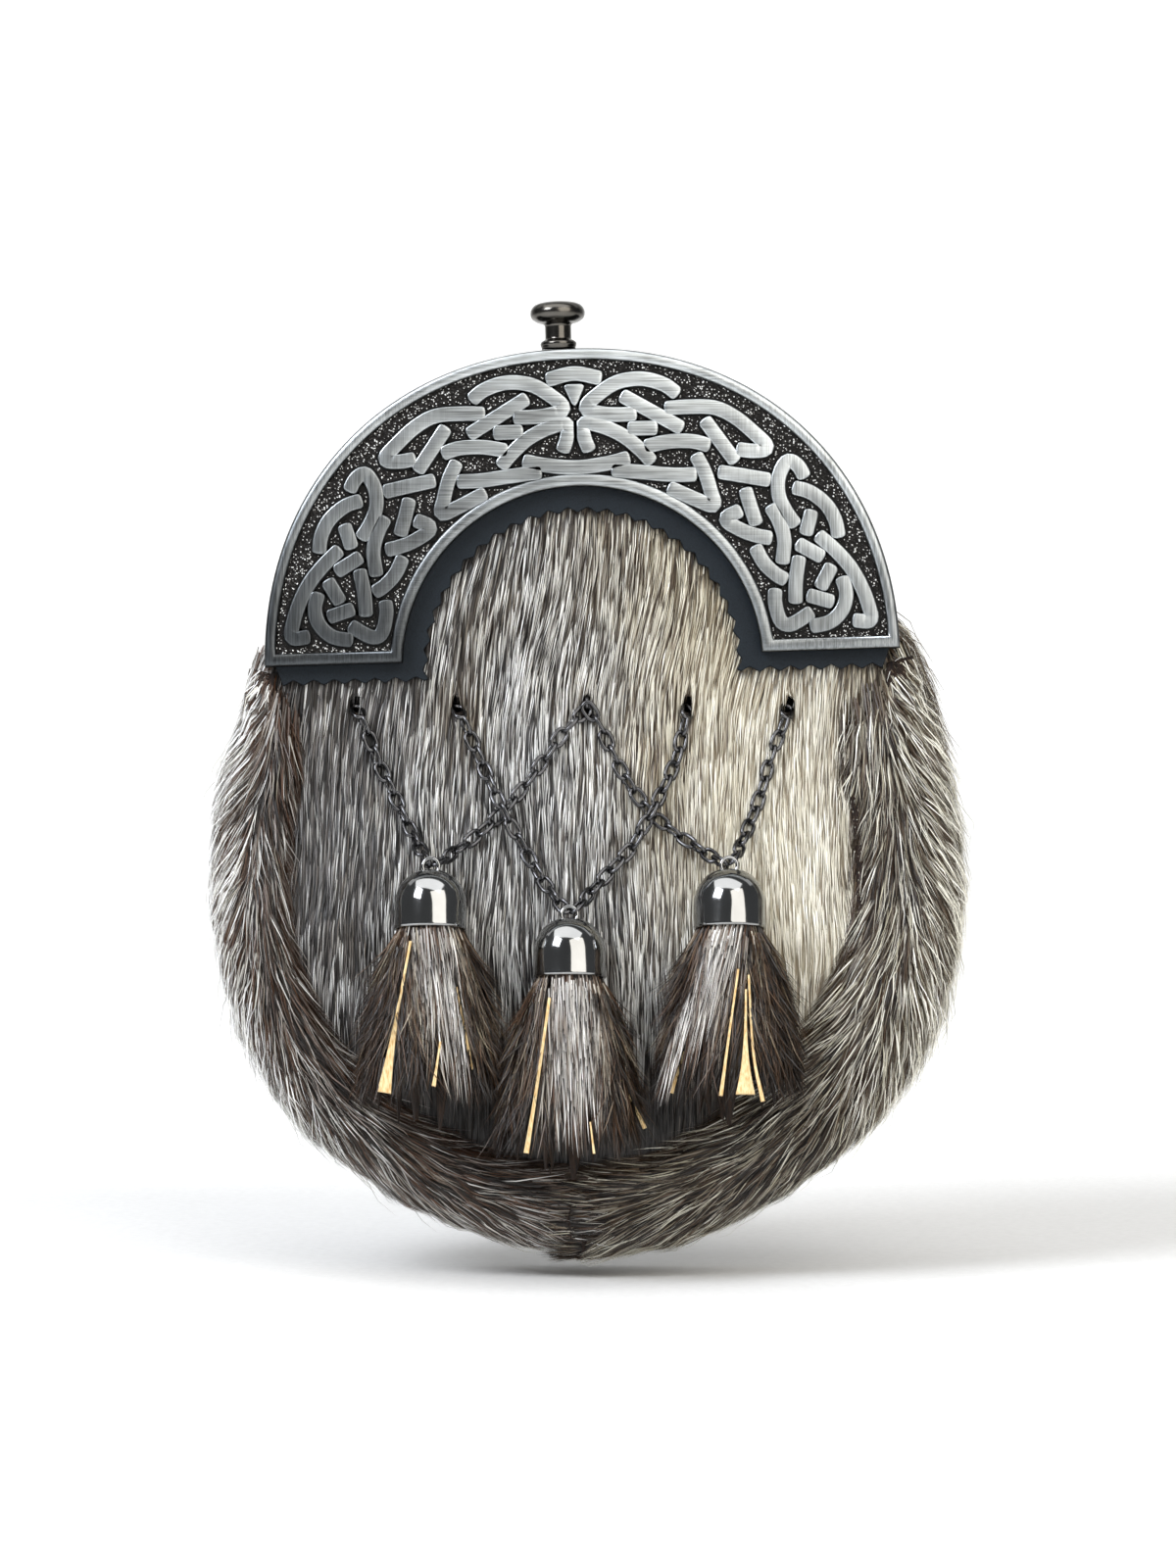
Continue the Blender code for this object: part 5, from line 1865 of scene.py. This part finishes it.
@dataclass(frozen=True)
class BorderFur:
    """Half of the deep fur round the pouch: an inset skin of underfur and long guard hairs over it."""

    side: Side
    hairs: int = 35500
    shoulder_hairs: int = 3800
    length: float = 16.0 * MM
    depth: float = 2.6 * MM
    layers: float = 6.0
    comb: Comb = Comb(segments=3, width=0.35 * MM, lock_size=12.0, gather=0.4, roll_deg=50.0)

    @property
    def label(self) -> str:
        """left or right."""
        return self.side.name.lower()

    def inset(self, points: Array, normals: Array) -> Array:
        """Find how deep the underfur lies: little at the thin top, the inner wall and the seam.

        Args:
            points: places on the solid.
            normals: the unit normals there.

        Returns:
            How far inside the solid it lies at each place.
        """
        least = 0.25 * MM
        top = points[:, 2].max()
        free = eased((normals * OUTLINE.outward(points)).sum(1), -0.7, 0.0)
        free *= 1.0 - eased(np.abs((normals * OUTLINE.downward(points)).sum(1)), 0.5, 0.9)
        return least + (self.depth - least) * free * eased(top - points[:, 2], 4 * MM, 18 * MM)

    def skin(self) -> Skin:
        """The surface of the underfur."""
        return Skin([f"border_fur_{self.label}"], self.inset)

    def build(self, seed: int) -> None:
        """Make the skin and plant the hair.

        Args:
            seed: seed of the random numbers.
        """
        rng = np.random.default_rng(seed)
        skin = self.skin()
        mesh = skin.mesh(f"border_underfur_{self.label}")
        add_piece(mesh, Slot.BORDER_FUR, BORDER_SKIN, replaces=[f"border_fur_{self.label}"])
        roots, normals = skin.scatter(rng, self.hairs * 3)
        other = "border_fur_right" if self.side is Side.LEFT else "border_fur_left"
        covers = Skin(["front_hide", "gusset", "back_panel", other])
        front = np.broadcast_to(FRONTWARDS, roots.shape)
        shown = ~covers.hit(roots, front, 6 * MM) & (normals[:, 1] < 0.2)
        shown |= ~covers.hit(roots, normals, 6 * MM)
        roots, normals = roots[shown][: self.hairs], normals[shown][: self.hairs]
        count = len(roots)
        below = eased(-roots[:, 2], -4 * MM, 20 * MM)
        lengths = self.length * rng.uniform(0.6, 1.2, count) * (0.6 + 0.4 * below)
        layer = rng.random(count)
        inner, above = self.open_ends(skin, roots)
        lifts = self.lifts(rng, roots, normals, layer)
        warmth = np.clip(rng.normal(0.15 if self.side is Side.LEFT else 0.75, 0.2, count), 0.0, 1.0)
        tones = self.tones(rng, roots, OUTLINE.outset(roots), layer)
        tones = np.clip(tones + 0.1 * (inner | above), 0.0, 1.0)
        hairs = Hairs(roots, normals, lengths, lifts, tones, warmth, 0.4 * (inner | above))
        lines = self.laid(rng, skin, hairs, inner, above)
        shoulder, shoulder_lines = self.shoulder(rng)
        hairs, lines = hairs.joined(shoulder), np.concatenate([lines, shoulder_lines])
        lines = self.comb.gathered(lines, rng)
        mesh = self.comb.mesh(f"border_hair_{self.label}", hairs, lines, rng)
        add_piece(mesh, Slot.BORDER_FUR, BORDER_COAT)

    def lifts(self, rng: Random, roots: Array, normals: Array, layer: Array) -> Array:
        """Find how far the hairs' tips stand off the underfur.

        Args:
            rng: seeded generator.
            roots: where the hairs start.
            normals: the unit normals there.
            layer: how high each hair lies, from 0 to 1.

        Returns:
            The lifts.
        """
        down = -roots[:, 2]
        wild = eased(layer, 0.8, 1.0) * rng.exponential(0.9 * MM, len(roots))
        lifts = self.inset(roots, normals) * (0.3 + 0.6 * layer) + wild
        # Lower at the top end and towards the tip, fuller on the right flank or the left shoulder
        lifts *= eased(roots[:, 2].max() + down, -4 * MM, 10 * MM)
        lifts *= 1.0 - 0.35 * eased(down, 108 * MM, 135 * MM)
        fuller = (-110 * MM, -70 * MM) if self.side is Side.RIGHT else (-45 * MM, -20 * MM)
        lifts *= 1.0 + 0.5 * eased(roots[:, 2], *fuller)
        # Fuller again where the sides turn in
        return lifts * (1.0 + 0.6 * eased(down, 68 * MM, 84 * MM) * (1.0 - eased(down, 104 * MM, 118 * MM)))

    def laid(self, rng: Random, skin: Skin, hairs: Hairs, inner: Array, above: Array) -> Array:
        """Lay the hairs down the gusset, over the inner edge and across the seam.

        Args:
            rng: seeded generator.
            skin: the underfur.
            hairs: the hairs.
            inner: whether each starts at the inner edge.
            above: whether each starts at the top end.

        Returns:
            Points along each hair.
        """
        roots, count = hairs.roots, len(hairs.roots)
        down, out = OUTLINE.downward(roots), OUTLINE.outward(roots)
        sway = rng.normal(0.0, 0.12, count)
        lines = self.comb.lay(hairs, skin, lambda points: self.flow(points, sway))
        grown = progress(lines)[None, :, None]
        # At the inner edge they spill over it, and at the top end half of them start a little higher
        spill = out * (inner * rng.uniform(0.0, 4.5 * MM, count))[:, None]
        lines = lines - spill[:, None, :] * grown**1.3
        start = down * rng.uniform(0.0, 7 * MM, count)[:, None] - (0.0, 1.4 * MM, 0.0)
        lines[:, 0] -= start * (above & (rng.random(count) < 0.5))[:, None]
        # Beside the seam they lie straight across it
        onward = unit(down + out * (sway - 0.1)[:, None]) * (0.6 * hairs.lengths)[:, None]
        straight = roots[:, None] + (onward + hairs.normals * hairs.lifts[:, None])[:, None] * grown
        last = (np.abs(roots[:, 0] - OUTLINE.seam_x) < 8 * MM) & (roots[:, 2] < -110 * MM)
        return np.where(last[:, None, None], straight, lines)

    def open_ends(self, skin: Skin, roots: Array) -> tuple[Array, Array]:
        """Find the hairs that no other hair covers.

        Args:
            skin: the underfur.
            roots: where the hairs start.

        Returns:
            Whether each starts at the inner edge, and whether it starts at the top end.
        """
        ahead = roots * (1.0, 0.0, 1.0) - (0.0, 90 * MM, 0.0)
        back = np.broadcast_to((0.0, 1.0, 0.0), roots.shape)
        inner = ~skin.hit(ahead - OUTLINE.outward(roots) * 2.5 * MM, back, 90 * MM)
        above = ~skin.hit(ahead - OUTLINE.downward(roots) * 5 * MM, back, 90 * MM)
        return inner, above

    def shoulder(self, rng: Random) -> tuple[Hairs, Array]:
        """Hair that starts on the gusset behind the arch's foot and fans out past it.

        Args:
            rng: seeded generator.

        Returns:
            The hairs and the points along each.
        """
        count, side = self.shoulder_hairs, self.side.value
        top = (18.0 if self.side is Side.RIGHT else 8.0) * MM
        level = rng.uniform(-14 * MM, top, count)
        roots = np.stack([np.zeros(count), rng.uniform(-15 * MM, -3 * MM, count), level], 1)
        rise = (level - OUTLINE.centre_z) / OUTLINE.top_semi
        roots[:, 0] = side * OUTLINE.half_width * np.sqrt(1.0 - rise**2)
        layer = rng.random(count)
        lengths = rng.uniform(15.0, 23.0, count) * (1.25 if self.side is Side.RIGHT else 0.85) * MM
        place, line = roots, [roots]
        for turn in (76.0, 54.0, 28.0):
            lean = np.radians(turn * (0.5 + 0.5 * layer) + rng.normal(0.0, 5.0, count))
            step = np.stack([side * np.sin(lean), rng.normal(0.0, 0.12, count), -np.cos(lean)], 1)
            place = place + step * (lengths / 3)[:, None]
            line.append(place)
        normals = np.broadcast_to(unit(np.array([0.6 * side, -1.0, 0.2])), roots.shape)
        warmth = np.clip(rng.normal(0.2 if self.side is Side.LEFT else 0.75, 0.2, count), 0.0, 1.0)
        tones = self.tones(rng, roots + (0.0, 0.0, -6 * MM), np.full(count, 5 * MM), rng.random(count))
        hairs = Hairs(roots, normals, lengths, 0 * lengths, tones, warmth, np.full(count, 0.4))
        return hairs, np.stack(line, 1)

    def tones(self, rng: Random, roots: Array, outset: Array, layer: Array) -> Array:
        """How light each hair is: silver at the outer edge, brown at the inner one, dark below, and painted
        darker as shade where it lies under other hairs.

        Args:
            rng: seeded generator.
            roots: where the hairs start.
            outset: how far outside the gusset's line they start.
            layer: how high each hair lies, from 0 to 1.

        Returns:
            A tone from 0, dark, to 1, pale.
        """
        silver = eased(outset, -3 * MM, 6 * MM)
        low = eased(-roots[:, 2], 85 * MM, 125 * MM)
        left = self.side is Side.LEFT
        base = (0.16 if left else 0.44) + (0.58 if left else 0.22) * silver * (1.0 - 0.6 * low)
        patches = 0.16 * smooth_noise(roots, (8.0, 8.0, 18.0), 5.2)
        # Painted shade: hairs that lie under other hairs are painted darker
        covered_shade = eased((1.0 - layer) * self.layers, 0.1, 1.9)
        tone = base - (0.06 if left else 0.22) * low + patches + 0.34 - 0.72 * covered_shade
        return np.clip(tone + rng.normal(0.0, 0.15, len(roots)), 0.0, 1.0)

    def flow(self, points: Array, sway: Array) -> Array:
        """Find the way down the gusset, outwards at the outer edge and over the front at the inner one.

        Args:
            points: places, one for each hair.
            sway: how far each hair leans out.

        Returns:
            Directions, one a row.
        """
        outset = OUTLINE.outset(points)
        broad = smooth_noise(points, (12.0, 12.0, 16.0), 2.9)
        fine = smooth_noise(points, (4.0, 4.0, 5.0), 7.9)
        fan = 0.65 * eased(outset, -4 * MM, 12 * MM) - 0.2 * eased(-outset, 3 * MM, 12 * MM) + sway
        fan += 0.16 * broad + 0.22 * fine
        return OUTLINE.downward(points) + OUTLINE.outward(points) * fan[:, None]


@dataclass(frozen=True)
class Tassel:
    """A tassel of fur-on strips that hang from a bell, with some of their tan cut edges in view."""

    name: str
    bell: Bell
    pale: tuple[float, float, float, float]
    hairs: int = 13600
    length: float = 14.0 * MM
    depth: float = 1.0 * MM
    pile: float = 2.4 * MM
    layers: float = 6.0
    comb: Comb = Comb(segments=3, width=0.32 * MM, lock_size=9.0, gather=0.3, roll_deg=50.0)
    # The outer form: half its width and depth at the bell, how much more further down, and how soon
    neck: tuple[float, float] = (7.6 * MM, 7.5 * MM)
    spread: tuple[float, float] = (10.5 * MM, 1.7 * MM)
    spread_by: float = 24 * MM

    def build(self, seed: int) -> None:
        """Make the strips' dark body, its hair and the tan strips.

        Args:
            seed: seed of the random numbers.
        """
        node = f"tassel_{self.name}"
        rng = np.random.default_rng(seed)
        skin = Skin([node], lambda points, _: np.full(len(points), self.depth))
        mesh = skin.mesh(f"tassel_body_{self.name}")
        add_piece(mesh, Slot.TASSEL_FUR, TASSEL_SKIN, replaces=[node])
        hairs, lines = self.plant(rng)
        lines = self.comb.gathered(lines, rng)
        clear = self.clear_of_strips(lines)
        hairs, lines = hairs.keep(clear), lines[clear]
        mesh = self.comb.mesh(f"tassel_hair_{self.name}", hairs, lines, rng)
        add_piece(mesh, Slot.TASSEL_FUR, TASSEL_COAT)
        self.add_strips()

    def shell(self, turn: Array, down: Array, proud: Array) -> Array:
        """Places on the tassel's outer form, an oval that widens below the bell.

        Args:
            turn: angle round the bell's axis, in radians.
            down: distance below the mouth.
            proud: distance off the form.

        Returns:
            Places in the bell's own frame.
        """
        grown = 1.0 - np.exp(-np.maximum(down, 0.0) / self.spread_by)
        across, deep = [neck + more * grown + proud for neck, more in zip(self.neck, self.spread)]
        return np.stack([across * np.cos(turn), deep * np.sin(turn), -down], -1)

    def plant(self, rng: Random) -> tuple[Hairs, Array]:
        """Hair that comes out of the bell's mouth and covers the strips.

        Args:
            rng: seeded generator.

        Returns:
            The hairs and the points along each.
        """
        count = self.hairs
        placed = np.array(self.bell.frame())
        turn = rng.uniform(-math.pi, math.pi, count)
        turn = np.where(rng.random(count) < 0.5, -np.abs(turn), turn)
        start = rng.uniform(-0.8 * MM, 34 * MM, count) * rng.random(count) ** 0.25
        layer = rng.random(count)
        root = self.shell(turn, start, 0.0 * start) @ placed[:3, :3].T + placed[:3, 3]
        inside = self.inside(root)
        room = 43 * MM - start + rng.uniform(0.0, 4.0, count) * MM
        lengths = np.minimum(self.length * rng.uniform(0.6, 1.25, count), np.maximum(room, 3 * MM))
        share = np.linspace(0.0, 1.0, self.comb.segments + 1)
        down = start[:, None] + lengths[:, None] * share
        wild = (1.0 - 0.8 * inside) * rng.exponential(1.7 * MM, count)
        rise = self.pile * (layer - 0.5)[:, None] + wild[:, None] * share**2
        rise = rise * eased(down, -2 * MM, 7 * MM) + 0.3 * MM
        stray = rng.normal(0.0, 0.13, count) * (1.8 - 0.9 * inside)
        twist = turn[:, None] + stray[:, None] * share
        lines = self.shell(twist, down, rise)
        mouth = self.bell.frame().translation
        lean = (self.pale[0] * MM - mouth.x) / (mouth.z - self.pale[1] * MM)
        lines[:, :, 0] += inside[:, None] * (lean * down - 0.6 * (lines[:, :, 0] - lines[:, :1, 0]))
        lines = lines @ placed[:3, :3].T + placed[:3, 3]
        normals = unit(np.stack([np.cos(turn), np.sin(turn), 0.0 * turn], 1)) @ placed[:3, :3].T
        warmth = np.clip(rng.normal(0.8 - 0.7 * inside, 0.15), 0.0, 1.0)
        bases = 0.5 * (1.0 - eased(start, 0.0, 6 * MM))
        tones = self.tones(rng, lines[:, 1], inside, layer)
        # Hairs off the pale strip are darker brown, and those that start further down are painted darker
        # still, as the shade low on the tassel
        tones = tones * (1.0 - (0.2 + 0.4 * eased(start, 18 * MM, 34 * MM)) * (1.0 - inside))
        return Hairs(lines[:, 0], normals, lengths, 0 * lengths, tones, warmth, bases), lines

    def inside(self, points: Array) -> Array:
        """Find how far points are in the pale strip that hangs in front.

        Args:
            points: places, one a row.

        Returns:
            1 in its middle and 0 outside it.
        """
        mouth = self.bell.frame().translation
        foot_x, foot_z, wide_top, wide_foot = [value * MM for value in self.pale]
        down = np.clip((mouth.z - points[:, 2]) / (mouth.z - foot_z), 0.0, 1.2)
        middle = mouth.x + (foot_x - mouth.x) * down
        half = wide_top + (wide_foot - wide_top) * down
        across = np.abs(points[:, 0] - middle) / half
        return (1.0 - eased(across, 0.45, 1.2)) * eased(mouth.y + 6 * MM - points[:, 1], 0.0, 6 * MM)

    def clear_of_strips(self, lines: Array) -> Array:
        """Find the hairs that don't cover a tan strip in view.

        Args:
            lines: points along each hair.

        Returns:
            True or False for each hair.
        """
        clear = np.ones(len(lines), bool)
        for line, _, wide in TAN_STRIPS[self.name]:
            route = smooth_route(np.array(line) * MM, 1.0 * MM)
            spread = (0.5 + (wide / 2 - 0.2) * np.linspace(0.0, 1.0, len(route)) ** 3) * MM
            for share in (0.35, 0.7, 1.0):
                middle = lines[:, 0] + (lines[:, -1] - lines[:, 0]) * share
                gap = np.hypot(middle[:, 0, None] - route[:, 0], middle[:, 2, None] - route[:, 1])
                clear &= (gap > spread).all(1) | (lines[:, 0, 1] > self.bell.frame().translation.y)
        return clear

    def tones(self, rng: Random, roots: Array, inside: Array, layer: Array) -> Array:
        """How light each hair is, painted darker as shade where it lies under other hairs.

        Args:
            rng: seeded generator.
            roots: where the hairs start.
            inside: how far in the pale strip they are.
            layer: how high each hair lies, from 0 to 1.

        Returns:
            A tone from 0, dark, to 1, pale.
        """
        spots = (0.4 - 0.16 * inside) * smooth_noise(roots, (2.6, 9.0, 9.0), 4.4)
        # Painted shade: hairs that lie under other hairs are painted darker
        covered_shade = eased((1.0 - layer) * self.layers, 0.1, 1.8)
        tone = 0.07 + 0.29 * inside + spots + 0.4 - 0.85 * covered_shade
        return np.clip(tone + rng.normal(0.0, 0.15, len(roots)), 0.0, 1.0)

    def on_shell(self, across: float, up: float, proud: float) -> Vector:
        """The place in front of the tassel's form at a given x and z.

        Args:
            across: x of the place.
            up: z of the place.
            proud: distance off the form.

        Returns:
            The place.
        """
        placed = self.bell.frame()
        tilt = math.radians(self.bell.tilt_deg)
        sideways = across - placed.translation.x
        deep = 8.0 * MM
        for _ in range(3):
            down = (placed.translation.z - up + deep * math.sin(tilt)) / math.cos(tilt)
            wide, _, _ = self.shell(np.array(0.0), np.array(down), np.array(0.0))
            turn = -math.acos(max(-1.0, min(1.0, sideways / (wide * 1.02))))
            deep = -float(self.shell(np.array(turn), np.array(down), np.array(proud))[1])
        return placed @ Vector((sideways, -deep, -down))

    def add_strips(self) -> None:
        """The tan strips that show between the locks, just in front of the hair."""
        parts = MeshParts()
        thick, crown = 2.2 * MM, 0.12 * MM
        # Share of half the width, and height off the strip's middle line
        section = ((-1, 0.0), (-0.9, crown), (0.9, crown), (1, 0.0), (1, -thick), (-1, -thick))
        for line, wide_top, wide_bottom in TAN_STRIPS[self.name]:
            route = smooth_route(np.array(line) * MM, 2.0 * MM)
            places = np.array([self.on_shell(across, up, 1.7 * MM) for across, up in route.tolist()])
            places[:, 1] = smooth_depths(places[:, 1])
            wide = (wide_top + (wide_bottom - wide_top) * np.linspace(0.0, 1.0, len(places)) ** 3) * MM
            _, sides, ups = frames_along(places, FRONTWARDS)
            half = sides * (wide / 2)[:, None]
            rows = [places + half * share + ups * height for share, height in section]
            parts.add_rings(np.stack(rows, 1))
        add_piece(parts.mesh(f"tan_strips_{self.name}", 40.0), Slot.TASSEL_FUR, FLESH_SIDE)


def smooth_depths(depths: Array) -> Array:
    """A straight line through depths, so that a strip lies flat over the locks."""
    at = np.linspace(0.0, 1.0, len(depths))
    return np.polyval(np.polyfit(at, depths, 1), at)


# The pale strip in front of each tassel, in mm: x and z of its foot, half its width at top and foot
PALE_STRIPS = {
    "left": (-32.0, -109.0, 6.5, 3.2),
    "centre": (-1.6, -124.0, 7.6, 9.5),
    "right": (26.0, -112.0, 6.0, 3.4),
}

# Tan strips in view, by tassel: (x, z) points in mm from the top down, width in view at top and bottom
TAN_STRIPS = {
    "left": (
        (((-41.9, -67.9), (-44.9, -85.0), (-48.0, -104.2)), 0.6, 3.4),
        (((-34.4, -92.0), (-35.9, -102.5)), 0.5, 1.0),
        (((-30.7, -79.0), (-28.4, -90.0), (-26.8, -98.8)), 0.5, 0.9),
    ),
    "centre": (
        (((-8.0, -81.5), (-10.6, -100.0), (-13.5, -118.5)), 0.7, 1.3),
        (((9.0, -101.2), (12.3, -107.5), (15.2, -113.6)), 0.6, 1.0),
        (((1.9, -111.1), (2.8, -118.5)), 0.4, 0.6),
    ),
    "right": (
        (((24.8, -94.6), (21.6, -104.7)), 0.6, 1.1),
        (((37.9, -74.6), (35.6, -90.0), (33.5, -104.7)), 0.5, 0.9),
        (((39.7, -79.5), (39.5, -92.0), (39.4, -104.4)), 0.5, 4.6),
        (((40.4, -76.0), (41.4, -94.6), (43.6, -106.2)), 0.5, 1.0),
    ),
}


def main() -> None:
    """Build the pouch and the studio, piece by piece."""
    logging.basicConfig(level=logging.INFO, format="%(name)s: %(message)s")
    Studio().build()
    cantle = Cantle()
    cantle.build()
    PinkedLeather().build(cantle.lean())
    Knob().build(cantle.lean())
    PouchBody().build()
    BackStitches().build()
    bells = {name: Bell(name) for name in ("left", "centre", "right")}
    for bell in bells.values():
        bell.build()
    chains = (
        ("left_outer", "left", Side.LEFT),
        ("left_inner", "left", Side.RIGHT),
        ("centre_left", "centre", Side.LEFT),
        ("centre_right", "centre", Side.RIGHT),
        ("right_inner", "right", Side.LEFT),
        ("right_outer", "right", Side.RIGHT),
    )
    for name, bell, side in chains:
        Chain(name, bells[bell], side, hung=name in ("left_inner", "right_inner")).build()
    FrontPile().build(11)
    BorderFur(Side.LEFT).build(21)
    BorderFur(Side.RIGHT).build(22)
    for seed, (name, bell) in enumerate(bells.items()):
        Tassel(name, bell, PALE_STRIPS[name]).build(31 + seed)


if __name__ == "__main__":
    main()
